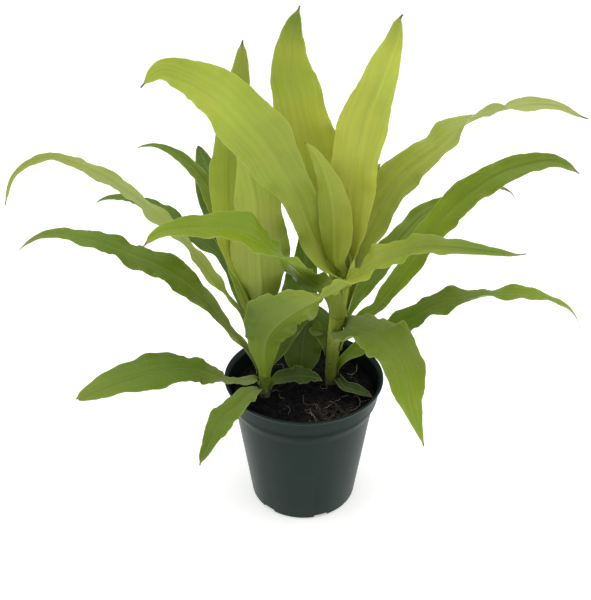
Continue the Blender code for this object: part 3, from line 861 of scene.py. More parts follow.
@dataclass
class Studio:
    """White studio: paper floor, soft lights from above and from both sides, and the camera."""

    lens: float = 48.0
    camera_place: Point = (-0.006, -0.475, 0.431)
    pitch_down: float = 29.4
    sight: float = 100.0  # metres that the camera sees
    floor_size: float = 40.0
    floor_drop: float = 0.0002
    sky: float = 0.62
    sky_colour: Point = (1.0, 1.0, 1.0, 1.0)
    # Each lamp's name, place, target, size in metres and power in watts.
    lamps: tuple = (("overhead", (0.0, 0.1, 1.5), (0.0, 0.0, 0.1), 1.6, 9.0),
                    ("left", (-1.3, -0.1, 0.75), (0.0, 0.0, 0.12), 1.1, 5.5),
                    ("right", (1.3, 0.0, 0.75), (0.0, 0.0, 0.12), 1.1, 5.0))

    def build(self) -> None:
        """Make the floor, the lights, the sky and the camera."""
        half, low = self.floor_size / 2, -self.floor_drop
        corners = [(-half, -half, low), (half, -half, low), (half, half, low), (-half, half, low)]
        floor = sheet_mesh("floor", np.array(corners), [(0, 1, 2, 3)])
        floor.data.materials.append(FloorFinish().material())
        world = bpy.data.worlds.new("sky")
        world.use_nodes = True
        background = world.node_tree.nodes["Background"].inputs
        background["Color"].default_value = self.sky_colour
        background["Strength"].default_value = self.sky
        bpy.context.scene.world = world
        for name, place, target, size, power in self.lamps:
            self.lamp(name, np.array(place), np.array(target), size, power)
        view = bpy.context.scene.view_settings
        view.view_transform = "Standard"
        view.look = "None"
        data = bpy.data.cameras.new("camera")
        data.lens = self.lens
        data.clip_end = self.sight
        camera = placed("camera", data)
        camera.location = self.camera_place
        camera.rotation_euler = (math.radians(90.0 - self.pitch_down), 0.0, 0.0)
        bpy.context.scene.camera = camera
        LOG.info("studio: %d lights", len(self.lamps))

    def lamp(self, name: str, place: np.ndarray, target: np.ndarray, size: float, power: float) -> None:
        """Hang one square soft light.

        Args:
            name: Its name.
            place: Where it hangs, in metres.
            target: Where it points.
            size: Its side, in metres.
            power: Its power, in watts.
        """
        data = bpy.data.lights.new(name, "AREA")
        data.size = size
        data.energy = power
        lamp = placed(name, data)
        lamp.location = place
        way = target - place
        lamp.rotation_euler = (math.acos(-way[2] / np.linalg.norm(way)), 0.0, math.atan2(way[1], way[0]) - math.pi / 2)


@dataclass
class NurseryPot:
    """Thin round tub that tapers to its base, with a deep collar, a flared lip and drain notches."""

    rim_radius: float = 0.0570
    height: float = 0.1025
    lip_z: float = 0.1012
    collar_top: Point = (0.0548, 0.0990)
    collar_foot: Point = (0.0535, 0.0870)
    shoulder: Point = (0.0502, 0.0803)
    base_radius: float = 0.0392
    wall: float = 0.0013
    floor: float = 0.0018
    base_round: float = 0.0018
    shoulder_round: float = 0.0024
    foot_round: float = 0.0022
    top_round: float = 0.0012
    lip_round: float = 0.00035
    rim_round: float = 0.0004
    inner_round: float = 0.0006
    sides: int = 240
    arc_steps: int = 5
    weld: float = 0.00001
    crease: float = math.radians(50.0)  # a sharper corner than this stays sharp
    notch_count: int = 6
    notch_width: float = 0.0105
    notch_height: float = 0.0028
    notch_reach: float = 0.0065
    notch_round: float = 0.0007
    notch_first: float = math.radians(-131.0)
    finish: PlasticFinish = field(default_factory=PlasticFinish)

    def inner_wall(self) -> list[Point]:
        """Draw the pot's inside.

        Returns:
            (radius, z) points from the floor to the top of the collar.
        """
        return [(self.base_radius - self.wall, self.floor),
                (self.shoulder[0] - self.wall, self.shoulder[1] + self.wall / 2),
                (self.collar_foot[0] - self.wall, self.collar_foot[1] + self.wall / 2),
                (self.collar_top[0] - self.wall, self.collar_top[1] + self.wall / 2)]

    def inner_radius(self, z: float) -> float:
        """Radius of the pot's inside at a height."""
        wall = self.inner_wall()
        return float(np.interp(z, [point[1] for point in wall], [point[0] for point in wall]))

    def section(self) -> list[Point]:
        """Draw half the pot's section with every corner rounded.

        Returns:
            (radius, z) points from the underside's centre round to the floor's.
        """
        rim = self.rim_radius
        corners = [((self.base_radius, 0.0), self.base_round), (self.shoulder, self.shoulder_round),
                   (self.collar_foot, self.foot_round), (self.collar_top, self.top_round),
                   ((rim, self.lip_z), self.lip_round), ((rim, self.height), self.rim_round),
                   ((rim - self.wall, self.height), self.rim_round)]
        corners += [(point, self.inner_round) for point in reversed(self.inner_wall())]
        centre_out, centre_in = (0.0, 0.0), (0.0, self.floor)
        places = [centre_out] + [corner for corner, _ in corners] + [centre_in]
        outline = [centre_out]
        for k, (corner, reach) in enumerate(corners, start=1):
            here = np.array(corner)
            before = unit(np.array(places[k - 1]) - here)
            after = unit(np.array(places[k + 1]) - here)
            for step in range(self.arc_steps + 1):
                u = step / self.arc_steps
                bend = here + before * reach * (1.0 - u) ** 2 + after * reach * u ** 2
                outline.append((float(bend[0]), float(bend[1])))
        outline.append(centre_in)
        return outline

    def build(self) -> None:
        """Turn the pot, cut its notches and dress it."""
        outline = self.section()
        mesh = bmesh.new()
        verts = [mesh.verts.new((r, 0.0, z)) for r, z in outline]
        edges = [mesh.edges.new(pair) for pair in zip(verts, verts[1:])]
        bmesh.ops.spin(mesh, geom=verts + edges, cent=(0, 0, 0), axis=(0, 0, 1), angle=2.0 * math.pi,
                       steps=self.sides, use_merge=True)
        bmesh.ops.remove_doubles(mesh, verts=mesh.verts, dist=self.weld)
        bmesh.ops.recalc_face_normals(mesh, faces=mesh.faces)
        pot = settled("nursery_pot", mesh)
        cut_away(pot, [self.notch_cutter(k) for k in range(self.notch_count)])
        dress_in(pot, self.finish.material(self.collar_foot, self.collar_top))
        pot.data.set_sharp_from_angle(angle=self.crease)
        keep(pot, "pot_plastic", "pot")

    def notch_cutter(self, number: int) -> Piece:
        """Make the block that cuts one drain notch.

        Args:
            number: Which notch, from 0.

        Returns:
            The block.
        """
        mesh = bmesh.new()
        bmesh.ops.create_cube(mesh, size=1.0)
        bmesh.ops.scale(mesh, verts=mesh.verts, vec=(2.0 * self.notch_reach, self.notch_width, 2.0 * self.notch_height))
        bmesh.ops.bevel(mesh, geom=mesh.edges, offset=self.notch_round, segments=3, profile=0.5, affect="EDGES")
        bmesh.ops.translate(mesh, verts=mesh.verts, vec=(self.base_radius, 0.0, 0.0))
        turn = self.notch_first + 2.0 * math.pi * number / self.notch_count
        spin = ((math.cos(turn), -math.sin(turn), 0.0), (math.sin(turn), math.cos(turn), 0.0), (0.0, 0.0, 1.0))
        for vert in mesh.verts:
            vert.co = np.array(spin) @ np.array(vert.co)
        return settled("notch_cutter", mesh)


def cut_away(target: Piece, cutters: Sequence[Piece]) -> None:
    """Cut blocks from a piece, and remove the blocks.

    Args:
        target: The piece.
        cutters: The blocks.
    """
    for cutter in cutters:
        modifier = target.modifiers.new("cut", "BOOLEAN")
        modifier.operation = "DIFFERENCE"
        modifier.object = cutter
    depsgraph = bpy.context.evaluated_depsgraph_get()
    finished = bpy.data.meshes.new_from_object(target.evaluated_get(depsgraph))
    target.modifiers.clear()
    target.data = finished
    for cutter in cutters:
        bpy.data.objects.remove(cutter)


@dataclass
class Cane:
    """One upright stem, wrapped in the sheaths of its leaves. Each sheath's edge rises to its leaf's base."""

    side: str
    axis: tuple
    radii: tuple
    sheaths: tuple = ()  # the height in mm and the azimuth in radians of each leaf's base
    sides: int = 72
    step: float = 0.5
    edge_rise: float = 1.2  # mm that a sheath reaches above its leaf's foot
    edge_drop: float = 20.0  # mm that its edge falls on the way round the stem
    edge_step: float = 0.26  # mm, a sheath's thickness at its edge
    crease_run: float = 1.3  # mm above an edge over which the crease, and the shade painted in it, fades
    rim_run: float = 0.9  # mm below an edge over which its light rim fades
    plain_run: float = 10.0  # mm of plain stem below the soil's top and above the stem's
    keel_height: float = 0.22
    keel_run: float = 26.0
    keel_narrow: int = 8
    soil_run: float = 2.0  # mm above the soil over which the relief sets in
    tip_round: float = 4.0
    tip_share: float = 0.45  # of the radius, left at the very top
    finish: StemFinish = field(default_factory=StemFinish)

    def __post_init__(self) -> None:
        """Draw the axis."""
        self.curve = spline(self.axis)
        self.bottom = float(self.curve[0, 2])
        self.top = float(self.curve[-1, 2])

    def centre(self, z: float) -> np.ndarray:
        """Axis point at a height."""
        return np.array([np.interp(z, self.curve[:, 2], self.curve[:, k]) for k in range(2)] + [z])

    def direction(self, z: float) -> np.ndarray:
        """Unit direction of the axis at a height."""
        return unit(self.centre(z + 2.0) - self.centre(z - 2.0))

    def radius(self, z: float) -> float:
        """Radius at a height, in mm."""
        return float(np.interp(z, [stop[0] for stop in self.radii], [stop[1] for stop in self.radii]))

    def relief(self, z: float, azimuth: float) -> tuple[float, float]:
        """Relief of the overlapping sheaths at a place on the stem.

        Args:
            z: Height in mm.
            azimuth: Side of the stem, in radians.

        Returns:
            The height of the relief in mm, and the edge mark: 1 on a sheath's edge, -1 in the crease above it, where
            the stem's material paints shade.
        """
        below, above, keel = SOIL_TOP / MM - self.plain_run, self.top + self.plain_run, 0.0
        for foot, side in self.sheaths:
            round_there = 0.5 - 0.5 * math.cos(azimuth - side)
            edge = foot + self.edge_rise - self.edge_drop * round_there
            if edge > z:
                if edge < above:
                    above = edge
                    facing = max(0.0, math.cos(azimuth - side)) ** self.keel_narrow
                    keel = facing * smooth(1.0 - (edge - z) / self.keel_run)
            else:
                below = max(below, edge)
        share = (z - below) / (above - below)
        crease, rim = smooth(1.0 - (z - below) / self.crease_run), smooth(1.0 - (above - z) / self.rim_run)
        return self.edge_step * (share - 1.0 - 0.5 * crease) + self.keel_height * keel, rim - crease

    def build(self) -> None:
        """Make the sheathed cane, and dress it."""
        heights = np.append(np.arange(self.bottom, self.top, self.step), self.top)
        points, marks = [], []
        for z in heights:
            centre = self.centre(z)
            axis = self.direction(min(max(z, self.bottom + 2.0), self.top - 2.0))
            first = unit(np.cross(axis, (0.0, 1.0, 0.0)))
            second = np.cross(axis, first)
            clear = smooth((z - SOIL_TOP / MM) / self.soil_run)
            cap = smooth((self.top - z) / self.tip_round)
            for n in range(self.sides):
                turn = 2.0 * math.pi * n / self.sides
                way = first * math.cos(turn) + second * math.sin(turn)
                azimuth = math.atan2(way[1], way[0])
                lift, mark = self.relief(z, azimuth)
                narrowed = self.tip_share + (1.0 - self.tip_share) * cap ** 0.5
                radius = (self.radius(z) + clear * lift) * narrowed
                points.append(centre + way * radius)
                marks.append((turn, z * MM, clear * mark))
        rings = len(heights)
        faces = ring_faces(rings, self.sides)
        faces.append(tuple(reversed(range(self.sides))))
        faces.append(tuple(range((rings - 1) * self.sides, rings * self.sides)))
        stem = sheet_mesh(f"cane_{self.side}", np.array(points) * MM, faces)
        outward(stem)
        paint(stem, "cane", np.array(marks))
        dress_in(stem, self.finish.material())
        keep(stem, "stem_green", f"stem_{self.side}")


def outward(obj: Piece) -> None:
    """Point every face of a closed mesh outwards.

    Args:
        obj: The object with the mesh.
    """
    mesh = bmesh.new()
    mesh.from_mesh(obj.data)
    bmesh.ops.recalc_face_normals(mesh, faces=mesh.faces)
    mesh.to_mesh(obj.data)
    mesh.free()


@dataclass(frozen=True)
class Leaf:
    """One leaf: where it clasps its stem, its midrib's route and its blade."""

    name: str
    height: float  # mm, where the base starts on the stem
    azimuth: float  # degrees from +X, the side of the stem that the base clasps
    route: tuple  # mm, midrib points after the base
    half: float  # mm, half the greatest width
    peak: float = 0.5  # fraction of the length where the blade is widest
    fold: float = 20.0  # degrees that each half rises from flat
    face: tuple = ((0.3, 0.0, -0.2, 1.0),)  # (fraction, x, y, z): where the upper face looks, after its base
    wave: float = 1.6  # mm, height of the margin's waves
    waves: float = 4.0  # waves along the blade
    base: float = 3.9  # mm, half the width at the base
    slim: float = 1.0  # above 1, the blade stays narrow for longer from its base
    tip: float = 0.9  # below 1, the blade stays wide for longer towards its tip

    @property
    def stem(self) -> str:
        """The side of its stem, left or right."""
        return self.name.split("_")[1]


@dataclass(frozen=True)
class Dress:
    """How one leaf looks: its colours from base to tip, its dry end and its frills."""

    tones: tuple[Tone, ...]
    places: tuple[float, ...] = (0.0, 0.45, 0.9)  # fractions of the length where the tones lie
    dry: float = 3.0  # mm of dry tip
    point: float = 5.0  # mm over which the end draws out to a thin point
    hook: float = 25.0  # degrees that the point curls down
    twist: float = 0.0  # degrees that it turns aside
    whisker: float = 0.0  # mm that it runs on past the CAD blade's end
    crimp: tuple = (0.0, 0.0, 0.3)  # mm of added frills, and the fractions that they lie between
    keel: float = 0.6  # how far the section goes from round, 0, to a crease along the midrib, 1
    flare: tuple = (0.0, 0.0, 0.3)  # mm that one half is broader, below 0 the other half, and between which fractions


LEAVES = (
    Leaf("leaf_left_01", 92.5, 245,
         ((-35, -20, 102), (-44, -38, 105), (-54, -53, 103), (-61, -66, 96), (-69, -76, 83)),
         half=9.6, fold=14, face=((0.3, 0.0, -0.1, 1.0),), waves=2.5),
    Leaf("leaf_left_02", 93.5, 8,
         ((-14, -4, 102), (-4, -5, 104), (6, -5, 103), (14, -4, 100)),
         half=8.5, fold=14, waves=3.5),
    Leaf("leaf_left_03", 99.5, 196,
         ((-46, -14, 105), (-57, -19, 112), (-66, -23, 119), (-77, -28, 126), (-99, -36, 129), (-120, -42, 127),
          (-135, -45, 122), (-151, -47, 115)),
         half=14.5, peak=0.56, fold=8, face=((0.25, 0.0, -0.35, 1.0),), wave=1.8, waves=3.5, base=3.1, slim=1.7,
         tip=0.6),
    Leaf("leaf_left_04", 106.5, 165,
         ((-42, 0, 126), (-57, 5, 144), (-69, 9, 158), (-83, 13, 171), (-101, 17, 181), (-120, 20, 188),
          (-139, 23, 195), (-159, 25, 200), (-180, 27, 199), (-200, 28, 188)),
         half=10.8, peak=0.45, face=((0.3, 0.0, -0.6, 0.8), (0.7, 0.0, -0.3, 1.0)), wave=2.6, waves=5.0,
         base=3.1, slim=3.2),
    Leaf("leaf_left_05", 107.0, 278,
         ((-27, -15, 122), (-27, -17, 133), (-25, -20, 145), (-20, -23, 155), (-12, -26, 165), (-1, -28, 174),
          (10, -31, 182), (22, -35, 191), (32, -38, 201), (42, -42, 211), (52, -46, 219), (63, -51, 226),
          (74, -56, 230), (86, -62, 232), (97, -67, 233), (107, -72, 234), (119, -76, 234)),
         half=15.5, peak=0.25, fold=30,
         face=((0.28, 0.0, 1.0, 0.3), (0.46, 0.0, 0.35, 1.0), (0.62, 0.0, -0.35, 1.0)), wave=2.4, waves=8.0,
         base=4.6, slim=0.8, tip=0.8),
    Leaf("leaf_left_06", 107.0, 55,
         ((-18, 6, 120), (-11, 17, 134), (-4, 29, 149), (0, 42, 165), (0, 50, 177), (-2, 56, 189)),
         half=14.0, fold=16, face=((0.3, -0.3, -0.9, 0.3),), wave=1.8, waves=3.0),
    Leaf("leaf_left_07", 114.0, 205,
         ((-37, -11, 145), (-45, -12, 164), (-59, -13, 185), (-70, -13, 204), (-85, -14, 223), (-101, -15, 240),
          (-117, -16, 254), (-134, -19, 266), (-153, -22, 272), (-171, -26, 264), (-181, -29, 245)),
         half=7.2, peak=0.62, fold=18, waves=5.5, base=3.6, slim=1.4),
    Leaf("leaf_left_08", 120.0, 128,
         ((-39, 7, 139), (-45, 18, 153), (-51, 29, 166), (-59, 38, 177), (-71, 46, 184), (-84, 55, 189),
          (-98, 66, 195), (-113, 74, 201), (-132, 82, 204), (-147, 88, 202), (-161, 93, 195)),
         half=8.0, peak=0.62, waves=4.5, base=3.4, slim=3.0),
    Leaf("leaf_left_09", 134.0, 155,
         ((-42, 8, 161), (-50, 24, 188), (-59, 38, 211), (-67, 47, 226), (-78, 54, 239), (-91, 60, 247),
          (-104, 64, 251), (-117, 67, 249)),
         half=6.6, face=((0.3, 0.0, -0.4, 1.0),)),
    Leaf("leaf_left_10", 127.0, 58,
         ((-31, 19, 146), (-45, 45, 168), (-58, 69, 194), (-68, 86, 217), (-74, 98, 228), (-79, 106, 237)),
         half=13.0, peak=0.55, face=((0.3, 0.0, -0.8, 0.6),), waves=3.0, tip=0.75),
    Leaf("leaf_left_11", 140.0, 165,
         ((-37, -2, 172), (-43, 3, 192), (-48, 9, 213), (-49, 14, 237), (-48, 18, 260), (-44, 20, 288),
          (-40, 22, 313), (-38, 22, 331)),
         half=13.5, peak=0.52, fold=22, face=((0.35, 0.3, -1.0, 0.1),), wave=2.0, tip=0.75),
    Leaf("leaf_left_12", 147.0, 252,
         ((-28, -10, 174), (-29, -6, 198), (-30, -4, 223), (-32, -3, 244), (-36, -2, 260), (-42, 0, 274)),
         half=19.0, peak=0.46, fold=26, face=((0.3, 0.1, 1.0, 0.0),), wave=2.2, waves=3.0, base=5.0),
    Leaf("leaf_right_01", 91.5, -35,
         ((29, -3, 94), (35, -8, 95), (42, -11, 94), (50, -13, 91.5)),
         half=5.4, peak=0.55, fold=16, face=((0.3, 0.0, -0.1, 1.0),), wave=0.6, waves=1.5, base=3.0),
    Leaf("leaf_right_02", 97.0, 14,
         ((29, 10, 108), (38, 12, 116), (49, 12, 123), (64, 8, 136), (77, 4, 148), (91, 0, 160), (108, -4, 167),
          (123, -8, 172), (140, -12, 175), (156, -15, 174), (173, -18, 168), (185, -20, 154)),
         half=11.5, fold=14, face=((0.3, 0.0, -0.6, 1.0), (0.65, 0.0, 0.1, 1.0), (1.0, 0.0, 0.0, 1.0)),
         wave=2.6, waves=4.5),
    Leaf("leaf_right_03", 110.0, 140,
         ((14, 17, 126), (10, 22, 134), (5, 24, 133), (1, 22, 125), (-1, 18, 114), (-2, 14, 103), (-3, 10, 95)),
         half=15.5, peak=0.62, fold=10, face=((0.25, 0.0, -0.5, 1.0),), waves=2.5, tip=0.45),
    Leaf("leaf_right_04", 118.0, -2,
         ((33, 12, 134), (41, 13, 142), (52, 15, 150), (63, 18, 164), (75, 21, 183), (86, 24, 201),
          (98, 26, 217), (113, 28, 231), (129, 30, 242), (147, 32, 248), (166, 34, 250), (186, 36, 241)),
         half=11.0, peak=0.6, fold=34, face=((0.3, -0.2, -0.7, 0.7),), wave=2.2, waves=5.5),
    Leaf("leaf_right_05", 125.0, 78,
         ((32, 26, 143), (40, 35, 151), (48, 43, 159), (57, 50, 167), (67, 56, 177), (77, 64, 186),
          (89, 72, 195), (105, 80, 200), (127, 88, 207), (145, 93, 209), (162, 97, 202)),
         half=10.0, peak=0.35, fold=22, face=((0.3, -0.2, -0.6, 0.8),), wave=1.8, waves=4.5, tip=1.3),
    Leaf("leaf_right_06", 133.0, -48,
         ((30, -8, 145), (38, -20, 152), (47, -33, 156), (55, -46, 156), (60, -57, 151), (63, -65, 143),
          (66, -72, 131), (70, -78, 118), (75, -82, 104)),
         half=18.2, peak=0.36, fold=12, wave=2.4, base=8.0, slim=0.7, tip=1.25),
    Leaf("leaf_right_07", 143.0, 100,
         ((29, 24, 164), (33, 38, 180), (39, 52, 197), (46, 66, 213), (52, 76, 226), (56, 82, 234)),
         half=8.0, fold=22, face=((0.3, -0.2, -0.6, 0.8),), waves=3.0),
    Leaf("leaf_right_08", 146.0, 225,
         ((15, -1, 170), (6, -10, 181), (-4, -19, 195), (-13, -28, 209), (-23, -34, 220), (-33, -39, 230),
          (-46, -45, 237), (-58, -51, 240), (-72, -57, 242), (-83, -63, 242), (-92, -67, 236)),
         half=14.0, peak=0.45, fold=28,
         face=((0.2, 0.1, 0.7, 0.7), (0.45, 0.0, -0.1, 1.0), (0.65, 0.0, -0.6, 1.0)), wave=2.0, waves=4.5,
         base=7.0, slim=0.5, tip=0.8),
    Leaf("leaf_right_09", 150.0, 15,
         ((36, 15, 181), (38, 16, 195), (45, 15, 214), (53, 13, 234), (66, 11, 253), (82, 8, 268), (96, 5, 283),
          (112, 2, 292), (129, -1, 297), (148, -4, 298), (168, -6, 290)),
         half=12.8, peak=0.42, fold=24,
         face=((0.35, -0.3, -0.8, 0.5), (0.6, 0.0, -0.5, 0.9), (0.74, 0.0, 0.45, 0.9), (0.86, 0.0, -0.5, 0.9)),
         wave=2.2, waves=5.0, base=6.0, slim=0.65),
    Leaf("leaf_right_10", 156.0, 214,
         ((17, 4, 182), (11, 1, 199), (3, -4, 220), (-4, -9, 240), (-12, -15, 258), (-22, -22, 277),
          (-33, -28, 293), (-43, -34, 307), (-54, -41, 318), (-65, -47, 326), (-76, -51, 330), (-86, -54, 324)),
         half=18.0, peak=0.64, face=((0.35, 0.1, -1.0, 0.3), (0.8, 0.0, -1.0, 0.6)), wave=2.4, waves=4.5,
         base=8.0, slim=3.2, tip=0.85),
    Leaf("leaf_right_11", 171.0, -25,
         ((33, 3, 190), (31, 3, 208), (30, 3, 228), (30, 2, 252), (33, 1, 273), (37, 1, 292), (42, 1, 306),
          (47, 0, 323), (51, 0, 336), (53, 0, 350)),
         half=16.0, peak=0.52, fold=24, face=((0.35, -0.2, -1.0, 0.2),), wave=2.0, base=6.0,
         slim=0.65, tip=0.85),
    Leaf("leaf_right_12", 164.0, 112,
         ((23, 17, 184), (17, 19, 199), (12, 20, 217), (8, 21, 236), (4, 21, 256), (0, 21, 275), (-4, 21, 292),
          (-8, 20, 311), (-9, 18, 327), (-7, 16, 341), (-3, 14, 352)),
         half=18.5, peak=0.56, fold=22, face=((0.35, 0.0, -1.0, 0.1),), wave=2.2, waves=4.5, base=6.0, slim=0.6,
         tip=0.92),
    Leaf("leaf_right_13", 178.0, 240,
         ((20, -2, 193), (18.5, -6, 207), (18, -9, 223), (16, -11, 242), (11, -11, 260), (6, -10, 270),
          (0, -9, 278)),
         half=9.0, fold=14, face=((0.35, 0.2, 1.0, 0.2),), wave=1.0, waves=2.0, base=4.6, slim=0.8),
)


# The dark tones on the low and inner leaves, down to right_01's darkest base by the soil, are painted shade laid over
# the leaves' own green.
DRESSES = {
    "leaf_left_01": Dress((Tone.SAGE, Tone.LEAF, Tone.MATURE), dry=2.0, point=6.0, crimp=(0.5, 0.2, 0.9)),
    "leaf_left_02": Dress((Tone.LEAF, Tone.SHADE, Tone.SHADE), dry=1.5, point=4.0, crimp=(1.0, 0.1, 0.95)),
    "leaf_left_03": Dress((Tone.SAGE, Tone.MATURE, Tone.LEAF), dry=1.6, point=3.0, hook=8.0, crimp=(1.5, 0.0, 0.5)),
    "leaf_left_04": Dress((Tone.SAGE, Tone.MATURE, Tone.LEAF), dry=6.0, point=9.0, hook=15.0, crimp=(0.4, 0.3, 0.85)),
    "leaf_left_05": Dress((Tone.GRASS, Tone.MATURE, Tone.OLIVE, Tone.LEAF), (0.0, 0.2, 0.5, 0.95), dry=6.0,
                          point=9.0, hook=-25.0, whisker=3.0, crimp=(2.2, 0.1, 0.46), keel=2.2,
                          flare=(8.0, 0.08, 0.42)),
    "leaf_left_06": Dress((Tone.DEEP, Tone.DEEP, Tone.DEEP)),
    "leaf_left_07": Dress((Tone.OLIVE, Tone.PALE_LIME, Tone.GRASS), (0.1, 0.6, 1.0), dry=4.0, point=8.0,
                          hook=10.0, crimp=(0.4, 0.2, 0.9)),
    "leaf_left_08": Dress((Tone.LEAF, Tone.DEEP, Tone.MATURE), point=7.0, crimp=(0.6, 0.4, 0.9)),
    "leaf_left_09": Dress((Tone.OLIVE, Tone.LEAF, Tone.MATURE), dry=2.5, point=4.0, hook=15.0),
    "leaf_left_10": Dress((Tone.SHADE, Tone.SHADE, Tone.DEEP), dry=1.5, point=2.5, hook=-60.0,
                          flare=(-4.0, 0.45, 1.1)),
    "leaf_left_11": Dress((Tone.LEAF, Tone.LIME, Tone.OLIVE), dry=4.0, point=7.0, hook=-10.0),
    "leaf_left_12": Dress((Tone.OLIVE, Tone.OLIVE, Tone.LIME), dry=1.5, point=4.0, hook=10.0, flare=(4.5, 0.0, 0.5)),
    "leaf_right_01": Dress((Tone.DUSK, Tone.SHADE, Tone.SHADE), dry=2.5, point=4.0),
    "leaf_right_02": Dress((Tone.GRASS, Tone.MATURE, Tone.GRASS), dry=5.0, point=9.0, hook=20.0,
                           crimp=(0.5, 0.25, 0.9), flare=(3.5, -0.02, 0.22)),
    "leaf_right_03": Dress((Tone.LEAF, Tone.DEEP, Tone.DEEP), dry=1.5, point=3.0, crimp=(0.6, 0.2, 0.9)),
    "leaf_right_04": Dress((Tone.LEAF, Tone.GRASS, Tone.LEAF), dry=6.0, point=9.0, hook=12.0, crimp=(0.3, 0.4, 0.95)),
    "leaf_right_05": Dress((Tone.LEAF, Tone.LEAF, Tone.MATURE), dry=22.0, point=18.0, hook=45.0, whisker=7.0),
    "leaf_right_06": Dress((Tone.SAGE, Tone.LEAF, Tone.GRASS), point=7.0, hook=8.0, crimp=(1.0, 0.1, 0.6),
                           flare=(6.0, -0.1, 0.36)),
    "leaf_right_07": Dress((Tone.DEEP, Tone.DEEP, Tone.DEEP), dry=4.0, point=6.0, hook=60.0),
    "leaf_right_08": Dress((Tone.OLIVE, Tone.GRASS, Tone.GRASS), point=6.0, hook=10.0, crimp=(0.5, 0.3, 0.9),
                           flare=(6.5, 0.0, 0.45)),
    "leaf_right_09": Dress((Tone.OLIVE, Tone.OLIVE, Tone.PALE_LIME), dry=5.0, point=9.0, hook=-15.0,
                           crimp=(0.2, 0.5, 0.95)),
    "leaf_right_10": Dress((Tone.YELLOW_LIME, Tone.OLIVE, Tone.LIME), dry=4.0, point=8.0, hook=30.0,
                           whisker=3.0, crimp=(0.6, 0.75, 1.0), flare=(-6.0, -0.06, 0.33)),
    "leaf_right_11": Dress((Tone.LIME, Tone.YELLOW_LIME, Tone.YELLOW_LIME, Tone.OLIVE), (0.0, 0.45, 0.86, 1.0),
                           point=6.0, hook=0.0, twist=-30.0),
    "leaf_right_12": Dress((Tone.LIME, Tone.YELLOW_LIME, Tone.LIME, Tone.LEAF), (0.0, 0.45, 0.84, 0.98),
                           point=8.0, hook=-12.0, crimp=(0.8, 0.82, 1.0)),
    "leaf_right_13": Dress((Tone.LIME, Tone.LIME, Tone.LIME), dry=1.0, flare=(-4.0, 0.0, 0.85)),
}


